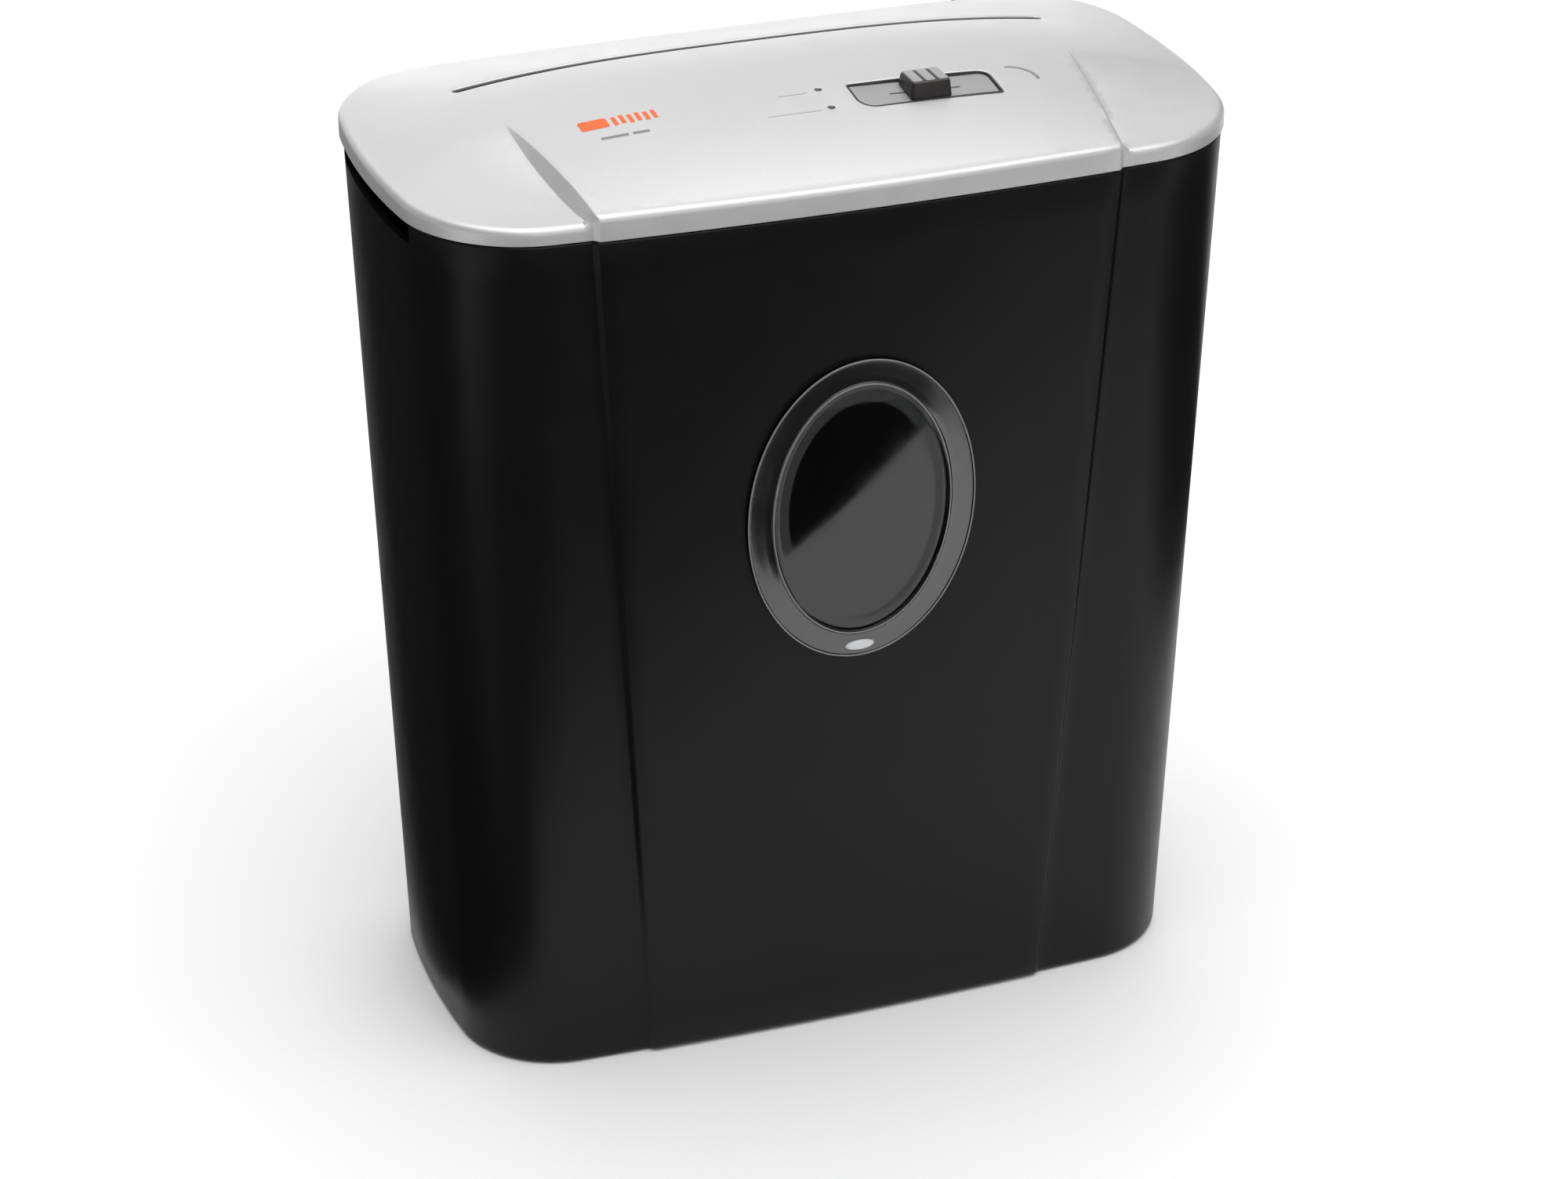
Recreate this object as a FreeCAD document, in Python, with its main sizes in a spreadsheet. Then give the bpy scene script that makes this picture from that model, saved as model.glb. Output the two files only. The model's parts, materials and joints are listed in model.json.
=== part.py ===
import FreeCAD, Part
import math
import os
import re
import Sketcher

# Strip-cut paper shredder: a lift-off cutting head that rests on a waste bin.
# Frame: X along the paper slot, Y from front (-) to back (+), Z up; origin at
# the middle of the footprint, on the floor. Millimetres.

V = FreeCAD.Vector

SIZES = {
    # waste bin
    "bin_low_x": 143.2, "bin_low_y": 72.0, "bin_low_bow": 2000.0,
    "bin_low_end": 330.0, "bin_low_corner": 38.0,
    "bin_top_x": 154.3, "bin_top_y": 83.7, "bin_top_bow": 1598.7,
    "bin_top_end": 328.7, "bin_top_corner": 44.7,
    "bin_wall": 2.5, "bin_floor": 3.0, "rim_z": 333.7,
    "panel_low_x": 78.0, "panel_top_x": 97.0, "panel_proud": 1.3,
    "notch_half_y": 42.0, "notch_deep": 8.5,
    "rib_x": 141.5, "rib_out_x": 150.0, "rib_y": -30.0, "rib_half_y": 3.0,
    "rib_low_z": 275.0, "rib_top_z": 316.0,
    # oval window
    "window_z": 218.0, "window_tilt": 2.0,
    "flange_x": 43.5, "flange_z": 59.5, "flange_thick": 1.6,
    "collar_x": 38.0, "collar_z": 53.5, "collar_deep": 5.0,
    "lens_x": 34.0, "lens_z": 49.5, "lens_thick": 1.6, "window_gap": 0.4,
    # cover of the head
    "lid_x": 155.6, "lid_y": 85.0, "lid_bow": 1600.0, "lid_end": 330.0, "lid_corner": 46.0,
    "lid_z": 334.0, "lip_z": 341.0, "crown_rise": 16.5, "crown_power": 3.0,
    "crown_back": 3.0, "crown_front": 1.8,
    "lid_wall": 2.5,
    "shoulder_y": -7.0, "wing_back_x": 107.0, "wing_mid_x": 102.5, "wing_front_x": 96.5,
    "wing_power": 1.8, "shoulder_step": 0.2,
    "slot_y": 31.0, "slot_half_x": 114.0, "slot_half_y": 2.7,
    "tray_x": 41.5, "tray_y": -32.3, "tray_half_x": 27.0, "tray_half_y": 9.0,
    "tray_floor_z": 351.4, "tray_wall": 1.4, "tray_side": 1.0, "tray_gap": 0.05,
    "slit_half_x": 16.0, "slit_half_y": 2.0,
    "light_x": 4.0, "light_front_y": -38.0, "light_back_y": -24.5, "light_r": 1.3,
    "gland_x": 100.0, "gland_z": 338.0, "gland_r": 3.4, "cord_r": 2.6,
    # tub of the head
    "tub_x": 136.0, "tub_y": 75.0, "tub_bow": 6000.0, "tub_end": 1500.0, "tub_corner": 28.0,
    "tub_wall": 2.0, "tub_z": 256.0, "tub_floor": 2.5, "seat_z": 333.9, "seat_thick": 2.5,
    "seat_x": 152.8, "seat_y": 82.2, "seat_bow": 1597.2, "seat_end": 327.2, "seat_corner": 43.2,
    "exit_half_x": 111.0, "exit_front_y": 3.0, "exit_back_y": 57.0,
    "screw_x": 141.5, "screw_y": 47.0, "screw_r": 1.5, "screw_head_r": 2.6, "screw_head": 2.0,
    # cutting block
    "nip_y": 30.0, "nip_z": 296.0, "shaft_gap": 34.0, "disc_r": 18.0, "spacer_r": 14.0,
    "disc_thick": 6.8, "disc_pitch": 14.0, "disc_count": 16, "first_disc_x": -107.5,
    "shaft_r": 6.0, "journal_r": 5.0, "fit_gap": 0.05, "bush_r": 8.0, "bush_flange_r": 9.2,
    "left_plate_x": -114.5, "right_plate_x": 114.0, "plate_thick": 2.5,
    "plate_half_y": 62.0, "plate_low_z": 264.0, "plate_top_z": 324.0,
    "tie_r": 3.0, "tie_nut_r": 5.0,
    "comb_bar": 2.5, "comb_gap": 19.5, "comb_low_z": 274.0, "comb_top_z": 284.0,
    "finger_low_z": 277.0, "finger_top_z": 281.3, "finger_wide": 5.0, "finger_long": 31.0,
    # gear train
    "sync_module": 2.0, "sync_teeth": 17, "sync_x": 117.6, "sync_wide": 6.0,
    "third_module": 1.25, "third_pinion": 12, "third_wheel": 30,
    "second_module": 0.8, "second_pinion": 13, "second_wheel": 52,
    "first_module": 0.7, "first_pinion": 10, "first_wheel": 60,
    "layer_one_x": -120.3, "layer_one": 5.2, "layer_two_x": -125.2, "layer_two": 4.3,
    "layer_three_x": -129.8, "layer_three": 4.0,
    "third_angle": 203.8, "second_angle": 125.3, "first_angle": 215.3,
    "axle_r": 2.5, "gear_plate_x": -132.2, "gear_plate_thick": 1.2,
    # motor
    "motor_r": 23.0, "motor_wall": 1.2, "motor_left_x": -108.5, "motor_right_x": -32.0,
    "motor_boss_r": 7.0, "motor_shaft_r": 1.6, "armature_r": 16.0,
    # feed and switches
    "chute_gap": 2.5, "chute_wall": 1.5, "chute_low_z": 313.5, "chute_top_z": 356.0, "chute_end_x": 112.0,
    "lever_y": 21.5, "lever_z": 331.0, "lever_long": 12.6, "lever_thick": 2.0, "lever_wide": 4.0,
    "plunger_z": 300.0, "plunger_r": 2.0, "plunger_tip_x": 141.0, "plunger_tail_x": 123.5,
    "board_z": 290.0, "board_thick": 1.6, "board_low_x": 2.0, "board_high_x": 98.0,
    "board_low_y": -66.0, "board_high_y": -14.0, "board_hole": 4.0,
    "knob_half_x": 7.8, "knob_half_y": 7.2, "knob_top_z": 359.6,
}

doc = FreeCAD.newDocument("PaperShredder")
sheet = doc.addObject("Spreadsheet::Sheet", "Sizes")
for row, (alias, value) in enumerate(SIZES.items(), start=1):
    sheet.set(f"A{row}", alias)
    sheet.set(f"B{row}", str(value))
    sheet.setAlias(f"B{row}", alias)
doc.recompute()

nodes = []


def num(alias):
    """The value of one cell of the sheet."""
    return float(sheet.get(alias))


def link(text):
    """An expression whose plain words are cells of the sheet."""
    return re.sub(r"[a-z][a-z_]+", lambda word: "Sizes." + word.group(0), str(text))


def keep(item, label):
    """Name a finished sub-part; its label becomes its file name."""
    item.Label = label
    nodes.append(item)
    return item


def move(item, x=None, y=None, z=None):
    """Bind the position of an object to expressions."""
    for axis, text in (("x", x), ("y", y), ("z", z)):
        if text is not None:
            item.setExpression("Placement.Base." + axis, link(text))
    return item


# ---- sketches -------------------------------------------------------------

def start_sketch(body, name, role, offset="0"):
    """A sketch on one origin plane of a body, moved along the plane's normal."""
    if body is None:
        flat = doc.addObject("Sketcher::SketchObject", name)
        flat.setExpression("Placement.Base.z", link(offset))
        return flat
    flat = body.newObject("Sketcher::SketchObject", name)
    plane = [item for item in body.Origin.OriginFeatures if item.Role == role][0]
    flat.AttachmentSupport = [(plane, "")]
    flat.MapMode = "FlatFace"
    flat.setExpression("AttachmentOffset.Base.z", link(offset))
    return flat


def pin_point(flat, shape, point, across, up):
    """Fix one point of a sketch by two expressions, starting from where it is."""
    spot = flat.getPoint(shape, point)
    first = flat.addConstraint(Sketcher.Constraint("DistanceX", -1, 1, shape, point, spot.x))
    flat.setExpression(f"Constraints[{first}]", link(across))
    second = flat.addConstraint(Sketcher.Constraint("DistanceY", -1, 1, shape, point, spot.y))
    flat.setExpression(f"Constraints[{second}]", link(up))


def polygon(body, name, role, points, offset="0"):
    """A closed straight-sided profile; every corner is bound to the sheet."""
    flat = start_sketch(body, name, role, offset)
    add_polygon(flat, points)
    return flat


def add_polygon(flat, points):
    count = len(points)
    base = flat.GeometryCount
    ring = [V(10 * math.cos(math.tau * k / count), 10 * math.sin(math.tau * k / count), 0)
            for k in range(count)]
    for k in range(count):
        flat.addGeometry(Part.LineSegment(ring[k], ring[(k + 1) % count]), False)
    for k in range(count):
        after = base + (k + 1) % count
        flat.addConstraint(Sketcher.Constraint("Coincident", base + k, 2, after, 1))
    for k, (across, up) in enumerate(points):
        pin_point(flat, base + k, 1, across, up)


def rectangle(body, name, role, low, high, offset="0"):
    corners = [(low[0], low[1]), (high[0], low[1]), (high[0], high[1]), (low[0], high[1])]
    return polygon(body, name, role, corners, offset)


def circles(body, name, role, rounds, offset="0"):
    """Circles, each (across, up, radius) in expressions."""
    flat = start_sketch(body, name, role, offset)
    for across, up, radius in rounds:
        shape = flat.addGeometry(Part.Circle(V(0, 0, 0), V(0, 0, 1), 1.0), False)
        pin_point(flat, shape, 3, across, up)
        row = flat.addConstraint(Sketcher.Constraint("Radius", shape, 1.0))
        flat.setExpression(f"Constraints[{row}]", link(radius))
    return flat


def outline(body, name, family, offset, inset=None):
    """Rounded plan outline of eight tangent arcs: two long bows, two ends, four corners."""
    less = num(inset) if inset else 0.0
    tail = f" - {inset}" if inset else ""
    half_x, half_y, bow, end, corner = [
        num(family + part) - less for part in ("_x", "_y", "_bow", "_end", "_corner")]
    flat = start_sketch(body, name, "XY_Plane", offset)
    # corner centre: inside both the bow and the end arc by the corner radius
    cx, cy = half_x - corner, half_y - corner
    for _ in range(60):
        cx = half_x - end + math.sqrt((end - corner) ** 2 - cy ** 2)
        cy = half_y - bow + math.sqrt((bow - corner) ** 2 - cx ** 2)
    bow_turn = math.atan2(cx, cy - half_y + bow)
    end_turn = math.atan2(cy, cx - half_x + end)
    quarter = math.pi / 2
    normal = V(0, 0, 1)

    def arc(x, y, radius, low, high):
        ring = Part.Circle(V(x, y, 0), normal, radius)
        return flat.addGeometry(Part.ArcOfCircle(ring, low, high), False)

    right = arc(half_x - end, 0, end, -end_turn, end_turn)
    back_right = arc(cx, cy, corner, end_turn, quarter - bow_turn)
    back = arc(0, half_y - bow, bow, quarter - bow_turn, quarter + bow_turn)
    back_left = arc(-cx, cy, corner, quarter + bow_turn, math.pi - end_turn)
    left = arc(end - half_x, 0, end, math.pi - end_turn, math.pi + end_turn)
    front_left = arc(-cx, -cy, corner, math.pi + end_turn, 3 * quarter - bow_turn)
    front = arc(0, bow - half_y, bow, 3 * quarter - bow_turn, 3 * quarter + bow_turn)
    front_right = arc(cx, -cy, corner, 3 * quarter + bow_turn, 4 * quarter - end_turn)
    loop = [right, back_right, back, back_left, left, front_left, front, front_right]
    for k in range(8):
        flat.addConstraint(Sketcher.Constraint("Tangent", loop[k], 2, loop[(k + 1) % 8], 1))
    for first, second in ((right, left), (back, front), (back_right, back_left),
                          (back_right, front_left), (back_right, front_right)):
        flat.addConstraint(Sketcher.Constraint("Equal", first, second))
    for shape, across, up in (
            (right, f"{family}_x - {family}_end", "0"),
            (left, f"{family}_end - {family}_x", "0"),
            (back, "0", f"{family}_y - {family}_bow"),
            (front, "0", f"{family}_bow - {family}_y")):
        pin_point(flat, shape, 3, across, up)
    for shape, part in ((right, "_end"), (back, "_bow"), (back_right, "_corner")):
        radius = num(family + part) - less
        row = flat.addConstraint(Sketcher.Constraint("Radius", shape, radius))
        flat.setExpression(f"Constraints[{row}]", link(family + part + tail))
    return flat


# ---- features -------------------------------------------------------------

def new_body(label):
    body = doc.addObject("PartDesign::Body", label)
    body.AllowCompound = True
    return body


def pad(body, name, flat, length, mid=False, back=False):
    """Raise a sketch into a solid; mid spreads it to both sides of the sketch."""
    item = body.newObject("PartDesign::Pad", name)
    item.Profile = flat
    item.setExpression("Length", link(length))
    item.Midplane = mid
    item.Reversed = back
    body.Tip = item
    return item


def pocket(body, name, flat, length, mid=False, back=False):
    """Sink a sketch into the solid; back turns it along the sketch's normal."""
    doc.recompute()
    before = body.Shape.Volume
    item = body.newObject("PartDesign::Pocket", name)
    item.Profile = flat
    item.setExpression("Length", link(length))
    item.Midplane = mid
    item.Reversed = back
    body.Tip = item
    doc.recompute()
    if body.Shape.Volume > before - 1e-3:
        raise RuntimeError(name + " cuts nothing")
    return item


def loft(body, name, flats, subtract=False):
    kind = "PartDesign::SubtractiveLoft" if subtract else "PartDesign::AdditiveLoft"
    item = body.newObject(kind, name)
    item.Profile = flats[0]
    item.Sections = flats[1:]
    item.Ruled = True
    body.Tip = item
    return item


def spin(body, name, flat):
    """Turn a profile about the body's own X axis, which is moved to the shaft's axis later."""
    item = body.newObject("PartDesign::Revolution", name)
    item.Profile = flat
    axis = [part for part in body.Origin.OriginFeatures if part.Role == "X_Axis"][0]
    item.ReferenceAxis = (axis, [""])
    item.Angle = 360
    body.Tip = item
    return item


def repeat(body, name, source, pitch, count):
    """Copy a feature along X at a steady pitch."""
    item = body.newObject("PartDesign::LinearPattern", name)
    item.Originals = [source]
    axis = [part for part in body.Origin.OriginFeatures if part.Role == "X_Axis"][0]
    item.Direction = (axis, [""])
    item.Mode = "Spacing"
    item.setExpression("Offset", link(pitch))
    item.setExpression("Occurrences", link(count))
    body.Tip = item
    return item


def block(label, low, high):
    """A plain box from two corners given as expressions."""
    item = doc.addObject("Part::Box", label)
    for prop, first, last in zip(("Length", "Width", "Height"), low, high):
        item.setExpression(prop, link(f"({last}) - ({first})"))
    return move(item, *low)


def rod(label, radius, low_x, high_x, y, z):
    """A round bar along X."""
    item = doc.addObject("Part::Cylinder", label)
    item.setExpression("Radius", link(radius))
    item.setExpression("Height", link(f"({high_x}) - ({low_x})"))
    item.Placement = FreeCAD.Placement(V(0, 0, 0), FreeCAD.Rotation(V(0, 1, 0), 90))
    return move(item, low_x, y, z)


def post(label, radius, low_z, high_z, x, y):
    """A round bar along Z."""
    item = doc.addObject("Part::Cylinder", label)
    item.setExpression("Radius", link(radius))
    item.setExpression("Height", link(f"({high_z}) - ({low_z})"))
    return move(item, x, y, low_z)


def fuse(label, items):
    item = doc.addObject("Part::MultiFuse", label)
    item.Shapes = items
    return item


def cut(label, base, tool):
    item = doc.addObject("Part::Cut", label)
    item.Base = base
    item.Tool = tool
    return item


def common(label, base, tool):
    item = doc.addObject("Part::Common", label)
    item.Base = base
    item.Tool = tool
    return item


def group(label, items):
    """Separate solids that share one node."""
    item = doc.addObject("Part::Compound", label)
    item.Links = items
    return item


def extrude(label, flat, length, axis=(0, 0, 1)):
    item = doc.addObject("Part::Extrusion", label)
    item.Base = flat
    item.DirMode = "Custom"
    item.Dir = V(*axis)
    item.setExpression("LengthFwd", link(length))
    item.Solid = True
    return item


def by_code(label, shape):
    item = doc.addObject("Part::Feature", label)
    item.Shape = shape
    return item


def oval(label, half_x, half_z, length):
    """An oval plate standing in the XZ plane, its thickness running back along +Y."""
    ring = doc.addObject("Part::Ellipse", label + "_edge")
    ring.setExpression("MajorRadius", link(half_z))
    ring.setExpression("MinorRadius", link(half_x))
    turn = FreeCAD.Rotation(V(0, 0, 1), V(0, -1, 0)).multiply(FreeCAD.Rotation(V(0, 0, 1), 90))
    ring.Placement = FreeCAD.Placement(V(0, 0, 0), turn)
    return extrude(label, ring, length, (0, 1, 0))


# ---- waste bin ------------------------------------------------------------

def front_arc_sketch(body, name, family, half_width, offset):
    """A thin strip that follows the front bow and stands proud of it."""
    flat = start_sketch(body, name, "XY_Plane", offset)
    half_y, bow, width = num(family + "_y"), num(family + "_bow"), num(half_width)
    proud = num("panel_proud")
    centre_y = bow - half_y
    sunk = num("bin_wall") / 2
    rings = []
    for radius in (bow + proud, bow - sunk):
        turn = math.asin(width / radius)
        ring = Part.Circle(V(0, centre_y, 0), V(0, 0, 1), radius)
        low = 1.5 * math.pi - turn
        rings.append(flat.addGeometry(Part.ArcOfCircle(ring, low, low + 2 * turn), False))
    outer, inner = rings
    sides = []
    for point in (1, 2):
        start = flat.getPoint(outer, point)
        stop = flat.getPoint(inner, point)
        side = flat.addGeometry(Part.LineSegment(start, stop), False)
        flat.addConstraint(Sketcher.Constraint("Coincident", outer, point, side, 1))
        flat.addConstraint(Sketcher.Constraint("Coincident", inner, point, side, 2))
        flat.addConstraint(Sketcher.Constraint("Vertical", side))
        sides.append(side)
    for shape, now, radius in ((outer, bow + proud, f"{family}_bow + panel_proud"),
                               (inner, bow - sunk, f"{family}_bow - bin_wall / 2")):
        pin_point(flat, shape, 3, "0", f"{family}_bow - {family}_y")
        row = flat.addConstraint(Sketcher.Constraint("Radius", shape, now))
        flat.setExpression(f"Constraints[{row}]", link(radius))
    for side, sign in zip(sides, ("-", "")):
        edge_x = flat.getPoint(side, 1).x
        row = flat.addConstraint(Sketcher.Constraint("DistanceX", -1, 1, side, 1, edge_x))
        flat.setExpression(f"Constraints[{row}]", link(f"{sign}{half_width}"))
    return flat


def make_bin():
    body = new_body("bin_shell")
    low = outline(body, "bin_low", "bin_low", "0")
    top = outline(body, "bin_top", "bin_top", "rim_z")
    loft(body, "bin_outside", [low, top])
    panel_low = front_arc_sketch(body, "panel_low", "bin_low", "panel_low_x", "0")
    panel_top = front_arc_sketch(body, "panel_top", "bin_top", "panel_top_x", "rim_z")
    loft(body, "front_panel", [panel_low, panel_top])
    hollow_low = outline(body, "hollow_low", "bin_low", "bin_floor", "bin_wall")
    hollow_top = outline(body, "hollow_top", "bin_top", "rim_z + 0.01", "bin_wall")
    loft(body, "bin_inside", [hollow_low, hollow_top], subtract=True)
    rib = rectangle(body, "rib_plan", "XY_Plane", ("rib_x", "rib_y - rib_half_y"),
                    ("rib_out_x", "rib_y + rib_half_y"), "rib_low_z")
    pad(body, "interlock_rib", rib, "rib_top_z - rib_low_z")
    notch = rectangle(body, "notch_side", "YZ_Plane", ("-notch_half_y", "rim_z - notch_deep"),
                      ("notch_half_y", "rim_z + 5"))
    pocket(body, "grip_notches", notch, "3 * bin_top_x", mid=True)
    opening = oval("window_opening", "collar_x + window_gap", "collar_z + window_gap", "60")
    move(opening, "0", "-bin_top_y - 10", "window_z")
    return keep(cut("waste_bin", body, opening), "waste_bin")


def make_window():
    """Clear oval window: a flat flange on the wall, a collar through it, a thin lens."""
    flange = oval("window_flange", "flange_x", "flange_z", "flange_thick")
    collar = oval("window_collar", "collar_x", "collar_z", "flange_thick + collar_deep")
    hollow = oval("window_hollow", "lens_x", "lens_z", "flange_thick + collar_deep")
    move(hollow, "0", "lens_thick")
    window = cut("window_raw", fuse("window_solid", [flange, collar]), hollow)
    keep(window, "bin_window")
    share = num("window_z") / num("rim_z")
    front = num("bin_low_y") + share * (num("bin_top_y") - num("bin_low_y")) + num("panel_proud")
    turn = FreeCAD.Rotation(V(1, 0, 0), num("window_tilt"))
    window.Placement = FreeCAD.Placement(V(0, -front - num("flange_thick") - 0.1, num("window_z")), turn)
    return window


# ---- cover ----------------------------------------------------------------

def crown_height(x, y):
    """The pillow-shaped top: highest in the middle, down to the lip all round."""
    fall_x = 1 - abs(x / num("lid_x")) ** num("crown_power")
    power = num("crown_back") if y > 0 else num("crown_front")
    fall_y = 1 - abs(y / num("lid_y")) ** power
    return num("lip_z") + num("crown_rise") * fall_x * fall_y


def wing_height(x, y):
    """The lower corners: from the shoulder line they sink to the lip in a hollow sweep."""
    start, stop = num("shoulder_y"), -num("lid_y")
    share = min(max((start - y) / (start - stop), 0), 1)
    rise = crown_height(x, start) - num("lip_z") - num("shoulder_step")
    return num("lip_z") + rise * (1 - share) ** num("wing_power")


def block_under(height, x_stop, y_low, y_high, drop, cells=12):
    """A solid whose top follows a height formula, lowered by drop."""
    rows = []
    for i in range(cells + 1):
        x = -x_stop + 2 * x_stop * i / cells
        ys = [y_low + (y_high - y_low) * k / cells for k in range(cells + 1)]
        rows.append([V(x, y, height(x, y) - drop) for y in ys])
    surface = Part.BSplineSurface()
    surface.interpolate(rows)
    return surface.toShape().extrude(V(0, 0, -60))


def centre_prism(inset):
    """Plan area where the crown rules: all of the back and the middle of the front."""
    low, top = num("lid_z") - 30, num("lip_z") + 40
    shoulder, front = num("shoulder_y"), -num("lid_y") - 10
    mid_y = (shoulder - num("lid_y")) / 2
    back_x, mid_x, front_x = [num(k) - inset for k in
                              ("wing_back_x", "wing_mid_x", "wing_front_x")]
    out_x, out_y = num("lid_x") + 5, num("lid_y") + 5
    back_left, back_right = V(-back_x, shoulder, low), V(back_x, shoulder, low)
    corners = [V(-out_x, shoulder, low), V(-out_x, out_y, low), V(out_x, out_y, low),
               V(out_x, shoulder, low)]
    edges = [Part.LineSegment(corners[k], corners[k + 1]) for k in range(3)]
    edges.append(Part.LineSegment(corners[3], back_right))
    edges.append(Part.Arc(back_right, V(mid_x, mid_y, low), V(front_x, front, low)))
    edges.append(Part.LineSegment(V(front_x, front, low), V(-front_x, front, low)))
    edges.append(Part.Arc(V(-front_x, front, low), V(-mid_x, mid_y, low), back_left))
    edges.append(Part.LineSegment(back_left, corners[0]))
    wire = Part.Wire([edge.toShape() for edge in edges])
    return Part.Face(wire).extrude(V(0, 0, top - low))


def crown_mass(drop, inset):
    """Everything below the cover's top surface."""
    wide, deep = num("lid_x") + 4, num("lid_y") + 4
    area = centre_prism(inset)
    middle = block_under(crown_height, wide, -deep, deep, drop).common(area)
    wings = block_under(wing_height, wide, -deep, num("shoulder_y"), drop).cut(area)
    return middle.fuse(wings).removeSplitter()


def make_cover():
    plan = outline(None, "lid_plan", "lid", "lid_z")
    inner_plan = outline(None, "lid_inner_plan", "lid", "lid_z - 1", "lid_wall")
    outside = common("cover_outside", extrude("lid_prism", plan, "40"),
                     by_code("crown_outside", crown_mass(0, 0)))
    inside = common("cover_inside", extrude("lid_hollow", inner_plan, "40"),
                    by_code("crown_inside", crown_mass(num("lid_wall"), num("lid_wall"))))
    shell = cut("cover_shell", outside, inside)
    bosses = [post(f"cover_boss_{k}", "4", "seat_z + seat_thick", "lip_z",
                   f"{sx} * screw_x", f"{sy} * screw_y")
              for k, (sx, sy) in enumerate(((-1, -1), (1, -1), (1, 1), (-1, 1)))]
    solid = fuse("cover_solid", [shell] + bosses)
    slot = block("cover_slot", ("-slot_half_x", "slot_y - slot_half_y", "lip_z"),
                 ("slot_half_x", "slot_y + slot_half_y", "lip_z + 30"))
    tray = block("cover_tray_hole",
                 ("tray_x - tray_half_x", "tray_y - tray_half_y", "lip_z"),
                 ("tray_x + tray_half_x", "tray_y + tray_half_y", "lip_z + 30"))
    lights = [post(f"light_hole_{k}", "light_r + 0.05", "lip_z", "lip_z + 30", "light_x", where)
              for k, where in enumerate(("light_front_y", "light_back_y"))]
    pilots = [post(f"cover_pilot_{k}", "screw_r", "lid_z", "lip_z - 1",
                   f"{sx} * screw_x", f"{sy} * screw_y")
              for k, (sx, sy) in enumerate(((-1, -1), (1, -1), (1, 1), (-1, 1)))]
    gland = doc.addObject("Part::Cylinder", "gland_hole")
    gland.setExpression("Radius", link("gland_r"))
    gland.Height = 20
    gland.Placement = FreeCAD.Placement(V(0, 0, 0), FreeCAD.Rotation(V(1, 0, 0), -90))
    move(gland, "gland_x", "lid_y - 12", "gland_z")
    tools = fuse("cover_cuts", [slot, tray, gland] + lights + pilots)
    keep(cut("top_cover", solid, tools), "top_cover")


def make_cover_fittings():
    """Switch tray, feed chute, indicator lenses and cord gland, all held by the cover."""
    body = new_body("switch_tray_body")
    edge_x, edge_y = "tray_half_x - tray_gap", "tray_half_y - tray_gap"
    plan = rectangle(body, "tray_plan", "XY_Plane",
                     (f"tray_x - ({edge_x})", f"tray_y - ({edge_y})"),
                     (f"tray_x + {edge_x}", f"tray_y + {edge_y}"), "tray_floor_z - tray_wall")
    pad(body, "tray_block", plan, "tray_wall + 10")
    well_x, well_y = "tray_half_x - tray_gap - tray_side", "tray_half_y - tray_gap - tray_side"
    well = rectangle(body, "tray_well_plan", "XY_Plane",
                     (f"tray_x - ({well_x})", f"tray_y - ({well_y})"),
                     (f"tray_x + {well_x}", f"tray_y + {well_y}"), "tray_floor_z + 11")
    pocket(body, "tray_well", well, "11")
    slit = rectangle(body, "tray_slit", "XY_Plane",
                     ("tray_x - slit_half_x", "tray_y - slit_half_y"),
                     ("tray_x + slit_half_x", "tray_y + slit_half_y"), "tray_floor_z + 1")
    pocket(body, "stem_slit", slit, "tray_wall + 2")
    flush = by_code("tray_trim", crown_mass(num("tray_gap"), 0))
    keep(common("switch_tray_raw", body, flush), "switch_tray")

    body = new_body("feed_chute_body")
    wide, inner = "slot_half_x - 0.5", "chute_gap"
    plan = rectangle(body, "chute_plan", "XY_Plane",
                     (f"-({wide}) - chute_wall + 1.2", f"slot_y - {inner} - chute_wall"),
                     (f"{wide} + chute_wall - 1.2", f"slot_y + {inner} + chute_wall"),
                     "chute_low_z")
    pad(body, "chute_block", plan, "chute_top_z - chute_low_z")
    throat = rectangle(body, "chute_throat", "XY_Plane", ("-chute_end_x", f"slot_y - {inner}"),
                       ("chute_end_x", f"slot_y + {inner}"), "chute_top_z + 1")
    pocket(body, "chute_hollow", throat, "chute_top_z - chute_low_z + 2")
    gate = rectangle(body, "lever_gate", "YZ_Plane",
                     ("slot_y - chute_gap - chute_wall - 1", "chute_low_z + 4"),
                     ("slot_y", "lever_z + 2"), "-lever_wide / 2 - 1")
    pocket(body, "lever_notch", gate, "lever_wide + 2", back=True)
    room = by_code("chute_room", crown_mass(num("lid_wall") + 0.05, 0))
    keep(common("feed_chute_raw", body, room), "feed_chute")


def make_small_cover_parts():
    pipes = []
    for k, where in enumerate(("light_front_y", "light_back_y")):
        top = crown_height(num("light_x"), num(where)) - 0.05
        pipe = post(f"light_pipe_{k}", "light_r", "lip_z + 7", "lip_z + 8", "light_x", where)
        pipe.setExpression("Height", None)
        pipe.Height = top - num("lip_z") - 7
        pipes.append(pipe)
    keep(group("status_lights_raw", pipes), "status_lights")
    body = new_body("gland_body")
    ring = circles(body, "gland_ring", "XZ_Plane",
                   [("gland_x", "gland_z", "gland_r"), ("gland_x", "gland_z", "cord_r")],
                   "-lid_y + 0.3")
    pad(body, "gland_bush", ring, "5.4")
    keep(body, "cord_gland")


# ---- tub ------------------------------------------------------------------

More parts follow.
